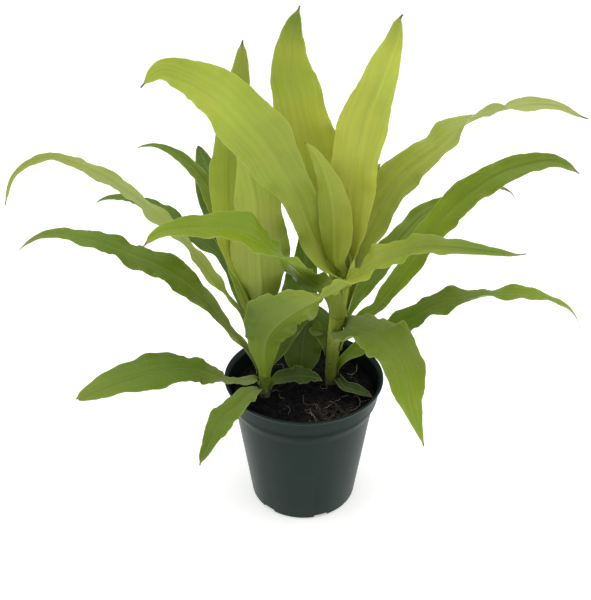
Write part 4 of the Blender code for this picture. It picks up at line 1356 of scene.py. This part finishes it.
@dataclass
class LeafBlade:
    """One blade, made in fine steps along the CAD leaf's own midrib."""

    leaf: Leaf
    dress: Dress
    cane: Cane
    number: int
    phases: tuple[float, float]
    mid_thick: float = 1.0  # mm, the CAD blade's, which sets how far its base stands off the stem
    facet_allowance: float = 0.25
    sheath_rise: float = 4.0
    sheath_lean: float = 0.25
    opening_run: float = 34.0
    tip_half_width: float = 0.5
    waves_end: float = 0.87
    wave_swell: float = 0.6
    short_waves: float = 2.3
    short_share: float = 0.55
    margin_pull: float = 0.07
    plain_frill: float = 0.4  # mm of small frills that every leaf has
    frill_ease: float = 0.08  # fraction of the length over which added frills set in
    frill_start: float = 0.35  # how far out from the midrib they begin, 1 at the margin
    crease_round: float = 0.08
    base_round: float = 2.2
    base_run: float = 8.0
    step: float = 1.6
    fine_end: float = 12.0
    fine_steps: int = 16
    whisker_steps: float = 1.5  # more steps for each mm of whisker
    thin_point: float = 0.46
    across: tuple = (0.02, 0.05, 0.1, 0.17, 0.24, 0.31, 0.38, 0.45, 0.52, 0.59, 0.66, 0.73, 0.8, 0.86, 0.91, 0.95,
                     0.98, 1.0)

    def midrib(self) -> tuple[np.ndarray, ...]:
        """Walk along the midrib.

        Returns:
            The arc lengths, points, tangents, sideways and upper-face directions, the length and clasping radius.
        """
        leaf, cane = self.leaf, self.cane
        axis = cane.direction(leaf.height)
        side = np.array([math.cos(math.radians(leaf.azimuth)), math.sin(math.radians(leaf.azimuth)), 0.0])
        side = unit(side - axis * side.dot(axis))
        clasp = cane.radius(leaf.height) + GAP / MM + self.facet_allowance + self.mid_thick / 2
        base = cane.centre(leaf.height) + side * clasp
        rise = base + axis * self.sheath_rise + side * self.sheath_lean
        curve = spline((base, rise) + leaf.route)
        run = np.concatenate([[0.0], np.cumsum(np.linalg.norm(np.diff(curve, axis=0), axis=1))])
        length = run[-1]
        end = length + self.dress.whisker
        fine_steps = self.fine_steps + int(self.whisker_steps * self.dress.whisker)
        stops = np.concatenate([np.arange(0.0, length - self.fine_end, self.step),
                                np.linspace(length - self.fine_end, end, fine_steps)])
        beyond = curve[-1] + unit(curve[-1] - curve[-4]) * (self.dress.whisker + 1.0)
        curve, run = np.vstack([curve, beyond]), np.append(run, end + 1.0)
        centres = np.stack([np.interp(stops, run, curve[:, k]) for k in range(3)], axis=1)
        tangents = np.gradient(centres, stops, axis=0)
        tangents /= np.linalg.norm(tangents, axis=1)[:, None]
        faces = [(0.0, -side)] + [(stop[0], unit(np.array(stop[1:]))) for stop in leaf.face]
        ups = []
        for stop, tangent in zip(stops, tangents):
            up = eased(faces, stop / length)
            ups.append(unit(up - tangent * up.dot(tangent)))
        ups = np.array(ups)
        self.draw_out_point(stops, centres, tangents, ups)
        return stops, centres, tangents, np.cross(tangents, ups), ups, length, clasp

    def draw_out_point(self, stops: np.ndarray, centres: np.ndarray, tangents: np.ndarray, ups: np.ndarray) -> None:
        """Curl the last few millimetres of the midrib, in place.

        Args:
            stops: Arc lengths along the midrib.
            centres: Its points.
            tangents: Its directions.
            ups: Where its upper face looks.
        """
        start = max(int(np.searchsorted(stops, stops[-1] - self.dress.point)), 1)
        for k in range(start, len(stops)):
            share = (stops[k] - stops[k - 1]) / self.dress.point
            tangent, up = tangents[k - 1], ups[k - 1]
            sideways = np.cross(tangent, up)
            tangent = turned_about(tangent, sideways, -math.radians(self.dress.hook) * share)
            tangent = unit(turned_about(tangent, up, math.radians(self.dress.twist) * share))
            tangents[k] = tangent
            ups[k] = unit(up - tangent * up.dot(tangent))
            centres[k] = centres[k - 1] + tangent * (stops[k] - stops[k - 1])

    def half_width(self, stop: float, length: float) -> float:
        """Half the blade's width.

        Args:
            stop: Arc length along the midrib, in mm.
            length: The whole length.

        Returns:
            Half the width there, in mm.
        """
        leaf = self.leaf
        fraction = min(stop / length, 1.0)
        if fraction < leaf.peak:
            width = leaf.base + (leaf.half - leaf.base) * smooth(fraction / leaf.peak) ** leaf.slim
        else:
            taper = math.cos(0.5 * math.pi * (fraction - leaf.peak) / (1.0 - leaf.peak))
            width = self.tip_half_width + (leaf.half - self.tip_half_width) * max(taper, 0.0) ** leaf.tip
        left = smooth((length + self.dress.whisker - stop) / self.dress.point)
        return self.thin_point + (width - self.thin_point) * left

    def margin_wave(self, fraction: float, phase: float) -> tuple[float, float]:
        """Wave one margin.

        Args:
            fraction: Place along the length.
            phase: Where the margin's waves start, in radians.

        Returns:
            How far it is lifted, in shares of the leaf's wave, and drawn out, in shares of the width.
        """
        inside = 0.0 < fraction < self.waves_end
        swell = math.sin(math.pi * fraction / self.waves_end) ** self.wave_swell if inside else 0.0
        turn = 2.0 * math.pi * self.leaf.waves * fraction + phase
        lift = math.sin(turn) + self.short_share * math.sin(self.short_waves * turn + phase)
        return lift * swell, self.margin_pull * math.cos(turn) * swell

    def frill(self, fraction: float) -> float:
        """Height of the small frills.

        Args:
            fraction: Place along the length.

        Returns:
            The height, in mm.
        """
        added, low, high = self.dress.crimp
        window = smooth((fraction - low) / self.frill_ease) * smooth((high - fraction) / self.frill_ease)
        return self.plain_frill * math.sin(math.pi * fraction) ** 0.5 + added * window

    def flare(self, fraction: float) -> float:
        """How much broader one half of the blade is than the other.

        Args:
            fraction: Place along the length.

        Returns:
            The added width in mm, below 0 where the other half is broader.
        """
        added, low, high = self.dress.flare
        middle = 0.5 * (low + high)
        return added * smooth((fraction - low) / (middle - low)) * smooth((high - fraction) / (high - middle))

    def build(self, tree: Tree, material: Material) -> None:
        """Make the blade's middle sheet, and let the tree give it relief, frills and thickness.

        Args:
            tree: The leaf tree.
            material: The leaf material.
        """
        leaf = self.leaf
        stops, centres, tangents, laterals, ups, length, clasp = self.midrib()
        spread = np.array([-s for s in reversed(self.across)] + [0.0] + list(self.across))
        columns = len(spread)
        tones = [(place, np.array(linear(tone.value)[:3])) for place, tone in zip(self.dress.places, self.dress.tones)]
        points = []
        painted: dict[str, list] = {name: [] for name in ("blade", "zone", "tone", "dry", "frill", "sideways")}
        for stop, centre, tangent, lateral, up in zip(stops, centres, tangents, laterals, ups):
            fraction = min(stop / length, 1.0)
            left = stops[-1] - stop
            width = self.half_width(stop, length)
            opened = smooth(stop / self.opening_run)
            bend = (leaf.base / clasp) * (1.0 - opened) + math.radians(leaf.fold) * opened
            radius = width / bend
            colour = eased(tones, fraction)
            crease = self.dress.keel * opened * radius * (1.0 - math.cos(bend))
            flared = self.flare(fraction) * opened / width
            for s in spread:
                wave, pull = self.margin_wave(fraction, self.phases[0 if s < 0 else 1])
                lift = leaf.wave * wave * opened * s * s
                drawn = radius * (1.0 + pull * opened + max(0.0, math.copysign(1.0, s) * flared))
                soft = self.crease_round
                lift += crease * (math.hypot(s, soft) - math.hypot(1.0, soft) * s * s - soft * (1.0 - s * s))
                rounding = self.base_round * s ** 4 * max(0.0, 1.0 - stop / self.base_run)
                points.append(centre + lateral * drawn * math.sin(bend * s) + tangent * rounding
                              + up * (drawn * (1.0 - math.cos(bend * s)) + lift))
                outer = smooth((abs(s) - self.frill_start) / (1.0 - self.frill_start))
                painted["blade"].append((width * s * MM, stop * MM, self.number))
                painted["zone"].append((width * (1.0 - abs(s)) * MM, left * MM, 0.0))
                painted["tone"].append(colour)
                painted["dry"].append(left / self.dress.dry)
                painted["frill"].append(self.frill(fraction) * outer * opened * MM)
                painted["sideways"].append(lateral * math.cos(bend * s) + up * math.sin(bend * s))
        faces = []
        for i in range(len(stops) - 1):
            for j in range(columns - 1):
                a = i * columns + j
                faces.append((a, a + 1, a + columns + 1, a + columns))
        obj = sheet_mesh(leaf.name.replace("leaf", "blade"), np.array(points) * MM, faces)
        for name, values in painted.items():
            paint(obj, name, np.array(values))
        grown(obj, tree, {"Leaf Material": material, "Seed": self.number})
        keep(obj, "leaf_green", leaf.name)


@dataclass
class LeafTree:
    """The Geometry Nodes tree that turns a leaf's middle sheet into its finished blade."""

    pleat_spacing: float = 0.0044
    pleat_height: float = 0.00012
    pleat_drift: float = 4.0
    pleat_fade: float = 0.005  # metres from the margin within which pleats fade
    groove_width: float = 0.0013
    groove_depth: float = 0.00032
    frill_length: float = 0.0062
    frill_pull: float = 0.3
    ragged: float = 0.00012
    noise_gain: float = 4.0  # brings a centred noise to about -1 to 1
    leaf_turn: float = 5.37  # how far the noise of one leaf lies from the next leaf's
    middle_thickness: float = 0.00055
    margin_thickness: float = 0.00026
    weld: float = 1e-6

    def make(self) -> Tree:
        """Build the tree.

        Returns:
            The tree, with its inputs named.
        """
        graph, given, sheet = Graph.of_geometry("leaf_blade", {
            "Pleat Spacing": self.pleat_spacing, "Pleat Height": self.pleat_height,
            "Groove Width": self.groove_width, "Groove Depth": self.groove_depth,
            "Frill Length": self.frill_length, "Frill Pull": self.frill_pull, "Ragged Margin": self.ragged,
            "Middle Thickness": self.middle_thickness, "Margin Thickness": self.margin_thickness,
            "Seed": 0, "Leaf Material": None})
        across, along = graph.parts(graph.named("blade"))[:2]
        margin, tip = graph.parts(graph.named("zone"))[:2]
        seed = graph.times(given["Seed"], self.leaf_turn)
        turn = graph.over(graph.times(across, 2.0 * math.pi), given["Pleat Spacing"])
        drift = graph.noise(graph.whole(graph.times(along, 14.0), seed, 0.0), 1.0, 1.0)
        pleat = graph.math("COSINE", graph.line(drift, self.pleat_drift, turn))
        pleat = graph.times(graph.times(pleat, given["Pleat Height"]), graph.ease(margin, 0.0, self.pleat_fade))
        near = graph.over(graph.math("ABSOLUTE", across), given["Groove Width"])
        groove = graph.times(graph.ease(near, 0.0, 1.0, 1.0, 0.0), given["Groove Depth"])
        groove = graph.times(groove, graph.ease(margin, 0.001, self.pleat_fade))

        step = graph.over(along, given["Frill Length"])
        edge = graph.math("SIGN", across)
        wobble = graph.noise(graph.whole(step, graph.times(edge, 3.7), seed), 1.0, 1.0)
        wobble = graph.times(graph.centred(wobble), self.noise_gain)
        lift = graph.line(wobble, graph.named("frill", "FLOAT"), graph.minus(pleat, groove))

        rough = graph.noise(graph.whole(graph.times(step, 1.5), graph.times(edge, 8.1), seed), 1.0, 1.0)
        elsewhere = graph.math("ADD", seed, 40.0)
        scallop = graph.noise(graph.whole(graph.times(step, 0.8), graph.times(edge, 2.3), elsewhere), 1.0, 0.0)
        rough = graph.minus(graph.line(scallop, 0.9, rough), 0.95)
        rough = graph.times(graph.times(rough, edge), self.noise_gain)
        reach = graph.line(graph.named("frill", "FLOAT"), given["Frill Pull"], given["Ragged Margin"])
        outer = graph.times(graph.ease(margin, 0.0, self.pleat_fade, 1.0, 0.0), graph.ease(tip, 0.004, 0.015))
        rough = graph.times(graph.times(rough, reach), outer)

        normal = graph.add("GeometryNodeInputNormal").outputs[0]
        offset = graph.vector("ADD", graph.scaled(normal, lift), graph.scaled(graph.named("sideways"), rough))
        shaped = graph.moved(sheet, offset)
        body = graph.times(graph.ease(margin, 0.0, 0.006), graph.minus(given["Middle Thickness"],
                                                                       given["Margin Thickness"]))
        thickness = graph.math("ADD", given["Margin Thickness"], body)
        thickness = graph.times(thickness, graph.ease(along, 0.0, 0.003, 0.4, 1.0))
        lower = graph.moved(shaped, graph.scaled(normal, graph.times(thickness, -0.5)))
        pushed = graph.add("GeometryNodeExtrudeMesh", {"Mesh": lower, "Offset Scale": thickness, "Individual": False},
                           mode="FACES").outputs
        marked = graph.stored(pushed["Mesh"], "side", 1.0, "POINT", pushed["Top"])
        flipped = graph.add("GeometryNodeFlipFaces", {0: lower}).outputs[0]
        joined = graph.add("GeometryNodeJoinGeometry")
        graph.tree.links.new(flipped, joined.inputs[0])
        graph.tree.links.new(marked, joined.inputs[0])
        closed = graph.add("GeometryNodeMergeByDistance", {
            "Geometry": joined.outputs[0], "Distance": self.weld}).outputs[0]
        graph.finish_mesh(closed, given["Leaf Material"])
        return graph.tree


@dataclass(frozen=True)
class Scatter:
    """One kind of loose bits on the soil, laid by the crumb tree."""

    name: str
    finish: CrumbFinish
    density: float  # bits for each square metre
    smallest: float
    largest: float
    flatness: float = 0.8
    length: float = 1.2
    rough: float = 0.5
    detail: int = 1
    seed: int = 1
    patchy: float = 0.0


PEAT_BITS = CrumbFinish("peat_bits", (7, 7, 10), (18, 16, 19), (42, 37, 37))
BARK_BITS = CrumbFinish("bark_bits", (38, 31, 28), (76, 62, 53), (116, 98, 86))
PALE_BITS = CrumbFinish("pale_bits", (90, 84, 82), (126, 118, 112), (160, 152, 144))

SCATTERS = (
    Scatter("peat_crumbs", PEAT_BITS, 420000.0, 0.00030, 0.00085, seed=11),
    Scatter("peat_lumps", PEAT_BITS, 42000.0, 0.0007, 0.0019, detail=2, seed=12),
    Scatter("bark_flakes", BARK_BITS, 26000.0, 0.0005, 0.0014, flatness=0.35, length=2.2, seed=13, patchy=1.0),
    Scatter("pale_specks", PALE_BITS, 26000.0, 0.00028, 0.00065, seed=14, patchy=0.6),
)

# Root threads on the soil: (x, y) points in mm, and each thread's radius in mm.
THREADS = (
    (((-0.6, -8.6), (0.7, -18.1), (7.1, -18.1), (9.0, -25.1)), 0.22),
    (((20.5, -18.1), (25.0, -13.4), (29.4, -9.8), (34.5, -8.6)), 0.36),
    (((36.7, -8.6), (39.8, -14.6), (38.7, -20.5), (34.9, -25.1), (31.3, -27.4)), 0.34),
    (((0.6, -28.5), (4.8, -29.6), (7.4, -34.1), (8.7, -38.6)), 0.32),
    (((40.9, 33.8), (39.4, 21.7), (36.1, 17.7), (32.6, 20.4)), 0.36),
    (((34.5, -8.6), (37.3, -9.8), (40.5, -15.8), (44.1, -14.6)), 0.24),
    (((-13.4, -19.3), (-9.9, -23.9), (-11.2, -30.8)), 0.2),
    (((-17.9, -5.0), (-16.4, -11.0), (-13.5, -13.4)), 0.26),
    (((12.6, -23.9), (16.8, -21.6), (21.3, -15.8)), 0.2),
    (((-2.9, -27.4), (3.4, -25.1), (5.4, -31.9)), 0.2),
)


@dataclass
class PottingMix:
    """The soil in the pot: a lumpy closed body, loose bits on top and fine root threads."""

    pot: NurseryPot
    canes: dict[str, Cane]
    rings: int = 64
    sides: int = 320
    clearance: float = 2.0 * GAP
    rough_height: float = 0.0009
    rough_scale: float = 210.0
    grain_height: float = 0.0004
    grain_scale: float = 800.0
    bit_margin: float = 0.0012  # metres without loose bits by the pot's wall and by each stem
    bit_ease: float = 0.001
    patch_floor: float = 0.06  # share of the patchy bits that lie outside the drier patch
    ground_rings: int = 40
    ground_sides: int = 120
    hole_length: float = 0.060
    thread_count: int = 14
    thread_reach: Point = (8.0, 44.0)  # mm from the pot's axis, where threads start
    thread_steps: tuple[int, int] = (8, 16)
    thread_turn: float = 0.5
    thread_wander: float = 0.35
    thread_radius: Point = (0.14, 0.22)
    thread_slim: float = 0.62
    scatters: tuple = SCATTERS
    finish: SoilFinish = field(default_factory=SoilFinish)

    def lump(self, x: float, y: float) -> float:
        """Height of the soil's broad relief, from a few crossed waves.

        Args:
            x: Place in metres.
            y: Place in metres.

        Returns:
            The height added there, in metres.
        """
        relief = 0.0
        for pitch, turn, share in SOIL_WAVES:
            across = (x * math.cos(turn) + y * math.sin(turn)) / (pitch * MM)
            along = (y * math.cos(turn) - x * math.sin(turn)) / (pitch * MM)
            relief += share * math.sin(2.0 * math.pi * across) * math.cos(2.0 * math.pi * along + turn)
        return relief * SOIL_LUMP

    def surface(self, x: float, y: float) -> Point:
        """The point of the soil's top above a place, without its roughness."""
        return x, y, SOIL_TOP + self.lump(x, y)

    def room(self, x: float, y: float, edge: float) -> float:
        """Share of loose bits at a place: none by a stem or the pot's wall.

        Args:
            x: Place in metres.
            y: Place in metres.
            edge: Radius of the soil's top.

        Returns:
            0 to 1.
        """
        share = smooth((edge - math.hypot(x, y)) / self.bit_margin - 0.6)
        for cane in self.canes.values():
            centre = cane.centre(SOIL_TOP / MM) * MM
            away = math.hypot(x - centre[0], y - centre[1]) - cane.radius(SOIL_TOP / MM) * MM
            share *= smooth((away - self.bit_margin) / self.bit_ease)
        return share

    def build(self) -> None:
        """Make the body, the loose bits and the threads."""
        material = self.finish.material()
        body = self.body(material)
        for stem in self.canes.values():
            radius = stem.radius((SOIL_TOP + SOIL_LUMP) / MM) * MM + GAP
            cut_away(body, [self.hole(stem, radius)])
        dress_in(body, material)
        keep(body, "potting_soil", "soil")
        tree = self.crumb_tree()
        for scatter in self.scatters:
            self.scatter(scatter, tree)
        self.threads()

    def body(self, material: Material) -> Piece:
        """Make the closed body of soil, with its rough top.

        Args:
            material: The soil's material.

        Returns:
            The body.
        """
        floor = self.pot.floor + GAP
        shoulder = self.pot.shoulder[1] + self.pot.wall
        edge = self.edge()
        places = [(self.pot.inner_radius(floor) - self.clearance, floor, 0.0),
                  (self.pot.inner_radius(self.pot.shoulder[1]) - self.clearance, shoulder, 0.0)]
        points, tops = [], []
        for radius, z, top in places + [(edge * (1.0 - k / self.rings), None, 1.0) for k in range(self.rings)]:
            for x, y in ring(radius, self.sides):
                points.append(self.surface(x, y) if z is None else (x, y, z))
                tops.append(top)
        count = len(places) + self.rings
        faces = ring_faces(count, self.sides)
        hub = len(points)
        points += [self.surface(0.0, 0.0), (0.0, 0.0, floor)]
        tops += [1.0, 0.0]
        last = (count - 1) * self.sides
        for n in range(self.sides):
            m = (n + 1) % self.sides
            faces.append((last + n, last + m, hub))
            faces.append((m, n, hub + 1))
        soil = sheet_mesh("potting_mix", np.array(points), faces)
        paint(soil, "top", np.array(tops))
        return grown(soil, self.relief_tree(), {"Rough Height": self.rough_height, "Grain Height": self.grain_height,
                                                "Soil Material": material})

    def edge(self) -> float:
        """Radius of the soil's top."""
        return self.pot.inner_radius(SOIL_TOP - SOIL_LUMP) - self.clearance

    def hole(self, cane: Cane, radius: float) -> Piece:
        """Make an upright round bar that clears a stem.

        Args:
            cane: The stem.
            radius: The bar's radius.

        Returns:
            The bar.
        """
        mesh = bmesh.new()
        bmesh.ops.create_cone(mesh, cap_ends=True, segments=cane.sides, radius1=radius, radius2=radius,
                              depth=self.hole_length)
        centre = cane.centre((cane.bottom + SOIL_TOP / MM) / 2) * MM
        middle = cane.bottom * MM - GAP + self.hole_length / 2
        bmesh.ops.translate(mesh, verts=mesh.verts, vec=(centre[0], centre[1], middle))
        return settled("hole", mesh)

    def relief(self, graph: Graph, rough: Any, grain: Any) -> Socket:
        """Height added to the soil's top at a place, in a tree.

        Args:
            graph: The tree's graph.
            rough: Height of the middle relief.
            grain: Height of the fine relief.

        Returns:
            The height.
        """
        place = graph.add("GeometryNodeInputPosition").outputs[0]
        flat = graph.vector("MULTIPLY", place, (1.0, 1.0, 0.0))
        middle = graph.centred(graph.noise(flat, self.rough_scale, 2.0))
        fine = graph.centred(graph.noise(flat, self.grain_scale, 2.0))
        return graph.math("ADD", graph.times(middle, graph.times(rough, 2.0)),
                          graph.times(fine, graph.times(grain, 2.0)))

    def relief_tree(self) -> Tree:
        """Build the tree that roughens the soil's top.

        Returns:
            The tree, with its inputs named.
        """
        graph, given, geometry = Graph.of_geometry("soil_relief", {
            "Rough Height": self.rough_height, "Grain Height": self.grain_height, "Soil Material": None})
        rise = self.relief(graph, given["Rough Height"], given["Grain Height"])
        lift = graph.times(rise, graph.named("top", "FLOAT"))
        graph.finish_mesh(graph.moved(geometry, graph.whole(0.0, 0.0, lift)), given["Soil Material"])
        return graph.tree

    def ground(self) -> Piece:
        """Make a plain sheet along the soil's top, with the room for bits painted on it.

        Returns:
            The sheet.
        """
        edge = self.edge()
        points, room, patch = [], [], []
        for k in range(self.ground_rings):
            for x, y in ring(edge * (1.0 - k / self.ground_rings), self.ground_sides):
                points.append(self.surface(x, y))
                room.append(self.room(x, y, edge))
                away = math.hypot(x - self.finish.brown_place[0], y - self.finish.brown_place[1])
                near = smooth(1.3 - away / self.finish.brown_reach)
                patch.append(self.patch_floor + (1.0 - self.patch_floor) * near)
        sheet = sheet_mesh("ground", np.array(points), ring_faces(self.ground_rings, self.ground_sides))
        paint(sheet, "room", np.array(room))
        paint(sheet, "patch", np.array(patch))
        return sheet

    def crumb_tree(self) -> Tree:
        """Build the tree that scatters bits over the soil and gives each its own lumpy form and shade.

        Returns:
            The tree, with its inputs named.
        """
        graph, given, geometry = Graph.of_geometry("soil_bits", {
            "Density": 1000.0, "Smallest": 0.0003, "Largest": 0.001, "Flatness": 0.8, "Length": 1.2,
            "Roughness": 0.5, "Detail": 1, "Seed": 0, "Patchiness": 0.0, "Bit Material": None})
        lift = self.relief(graph, self.rough_height, self.grain_height)
        raised = graph.moved(geometry, graph.whole(0.0, 0.0, lift))
        patch = graph.math("POWER", graph.named("patch", "FLOAT"), graph.times(given["Patchiness"], 2.0))
        density = graph.times(graph.times(given["Density"], graph.named("room", "FLOAT")), patch)
        points = graph.add("GeometryNodeDistributePointsOnFaces", {"Mesh": raised, "Density": density,
                                                                   "Seed": given["Seed"]}).outputs["Points"]

        def chance(offset: int, low: float = 0.0, high: float = 1.0) -> Socket:
            """A random number of each bit's own."""
            seed = graph.math("ADD", given["Seed"], float(offset))
            return graph.add("FunctionNodeRandomValue", {2: low, 3: high, "Seed": seed}, data_type="FLOAT").outputs[1]

        ball = graph.add("GeometryNodeMeshIcoSphere", {"Radius": 1.0, "Subdivisions": given["Detail"]}).outputs["Mesh"]
        spread = graph.minus(given["Largest"], given["Smallest"])
        size = graph.line(graph.math("POWER", chance(1), 3.0), spread, given["Smallest"])
        length = graph.times(size, graph.times(given["Length"], chance(2, 0.7, 1.3)))
        scale = graph.whole(length, size, graph.times(size, given["Flatness"]))
        turn = graph.whole(chance(3, -0.6, 0.6), chance(4, -0.6, 0.6), chance(5, 0.0, 2.0 * math.pi))
        laid = graph.add("GeometryNodeInstanceOnPoints", {"Points": points, "Instance": ball, "Rotation": turn,
                                                          "Scale": scale}).outputs[0]
        shaded = graph.stored(laid, "shade", chance(6), "INSTANCE")
        sized = graph.stored(shaded, "bulk", size, "INSTANCE")
        real = graph.add("GeometryNodeRealizeInstances", {0: sized}).outputs[0]
        place = graph.add("GeometryNodeInputPosition").outputs[0]
        wobble = graph.add("ShaderNodeTexNoise", {"Vector": place, "Scale": 900.0, "Detail": 1.0}).outputs[1]
        push = graph.vector("SUBTRACT", wobble, (0.5, 0.5, 0.5))
        amount = graph.times(graph.named("bulk", "FLOAT"), graph.times(given["Roughness"], 3.0))
        graph.finish_mesh(graph.moved(real, graph.scaled(push, amount)), given["Bit Material"])
        return graph.tree

    def scatter(self, scatter: Scatter, tree: Tree) -> None:
        """Lay one kind of bits.

        Args:
            scatter: The kind.
            tree: The crumb tree.
        """
        bits = self.ground()
        bits.name = scatter.name
        grown(bits, tree, {"Density": scatter.density, "Smallest": scatter.smallest, "Largest": scatter.largest,
                           "Flatness": scatter.flatness, "Length": scatter.length, "Roughness": scatter.rough,
                           "Detail": scatter.detail, "Seed": scatter.seed, "Patchiness": scatter.patchy,
                           "Bit Material": scatter.finish.material()})
        keep(bits, "potting_soil")

    def threads(self) -> None:
        """Lay the root threads: those that show in front, and thinner ones elsewhere."""
        draw = random.Random(SEED)
        routes = [(spline([(x, y, 0.0) for x, y in points], 10)[:, :2], radius) for points, radius in THREADS]
        for number in range(self.thread_count):
            away = draw.uniform(*self.thread_reach)
            angle = draw.uniform(0.0, 2.0 * math.pi)
            spot = np.array([away * math.cos(angle), away * math.sin(angle)])
            way = draw.uniform(0.0, 2.0 * math.pi)
            turn = draw.uniform(-self.thread_turn, self.thread_turn)
            route = []
            for step in range(draw.randint(*self.thread_steps)):
                if np.linalg.norm(spot) < self.edge() / MM - 2.0:
                    route.append(spot.copy())
                way += turn + draw.uniform(-self.thread_wander, self.thread_wander)
                spot += np.array([math.cos(way), math.sin(way)])
            if len(route) > 4:
                routes.append((np.array(route), draw.uniform(*self.thread_radius)))
        points, edges, thick = [], [], []
        for route, radius in routes:
            steps = len(route)
            for k, (x, y) in enumerate(route):
                hump = 0.5 + 0.5 * math.sin(k * 1.1 + radius * 40.0)
                points.append((x * MM, y * MM, self.surface(x * MM, y * MM)[2] + (0.7 + 0.7 * hump) * MM))
                taper = 0.35 + 0.65 * math.sin(math.pi * (k + 0.6) / (steps + 0.2))
                thick.append(self.thread_slim * radius * MM * taper)
                if k:
                    edges.append((len(points) - 2, len(points) - 1))
        mesh = bpy.data.meshes.new("root_threads")
        mesh.from_pydata(points, edges, [])
        threads = placed("root_threads", mesh)
        paint(threads, "thick", np.array(thick))
        grown(threads, self.thread_tree(), {"Thread Material": ThreadFinish().material()})
        keep(threads, "potting_soil")

    def thread_tree(self) -> Tree:
        """Build the tree that gives each thread's line its thickness.

        Returns:
            The tree, with its inputs named.
        """
        graph, given, geometry = Graph.of_geometry("threads", {"Sides": 6, "Thread Material": None})
        curve = graph.add("GeometryNodeMeshToCurve", {0: geometry}).outputs[0]
        ring = graph.add("GeometryNodeCurvePrimitiveCircle", {"Resolution": given["Sides"], "Radius": 1.0}).outputs[0]
        tube = graph.add("GeometryNodeCurveToMesh", {"Curve": curve, "Profile Curve": ring, "Fill Caps": True,
                                                     "Scale": graph.named("thick", "FLOAT")}).outputs[0]
        graph.finish_mesh(tube, given["Thread Material"])
        return graph.tree


@dataclass
class Shoot:
    """One stem with its leaves."""

    cane: Cane
    leaves: list[LeafBlade]

    def build(self, tree: Tree, material: Material) -> None:
        """Make the stem and every leaf on it.

        Args:
            tree: The leaf tree.
            material: The leaf material.
        """
        self.cane.build()
        for blade in self.leaves:
            blade.build(tree, material)
        LOG.info("%s shoot: %d leaves", self.cane.side, len(self.leaves))


def sheath_feet(side: str) -> tuple:
    """The height and azimuth of each leaf's base on a stem."""
    return tuple((leaf.height, math.radians(leaf.azimuth)) for leaf in LEAVES if leaf.stem == side)


CANES = {
    "left": Cane("left", ((-28, -7, 64), (-28, -7, 100), (-28, -6, 130), (-29, -5, 160)),
                 ((64, 3.6), (88, 3.8), (105, 4.3), (130, 4.4), (150, 3.4), (160, 2.2)), sheath_feet("left")),
    "right": Cane("right", ((19.5, 9, 64), (20, 9, 100), (22.5, 9, 135), (26.5, 9, 165), (28.5, 9, 190)),
                  ((64, 3.8), (88, 4.0), (115, 4.8), (145, 5.8), (170, 4.6), (190, 2.4)), sheath_feet("right")),
}


def main() -> None:
    """Build the studio, the pot, the soil and both shoots, in that order."""
    logging.basicConfig(level=logging.INFO, format="%(message)s")
    Studio().build()
    pot = NurseryPot()
    pot.build()
    PottingMix(pot, CANES).build()
    draw = random.Random(SEED)
    blades: dict[str, list[LeafBlade]] = {side: [] for side in CANES}
    for number, leaf in enumerate(LEAVES):
        phases = (draw.uniform(0.0, 2.0 * math.pi), draw.uniform(0.0, 2.0 * math.pi))
        blades[leaf.stem].append(LeafBlade(leaf, DRESSES[leaf.name], CANES[leaf.stem], number, phases))
    tree = LeafTree().make()
    material = LeafFinish().material()
    for side, cane in CANES.items():
        Shoot(cane, blades[side]).build(tree, material)


if __name__ == "__main__":
    main()
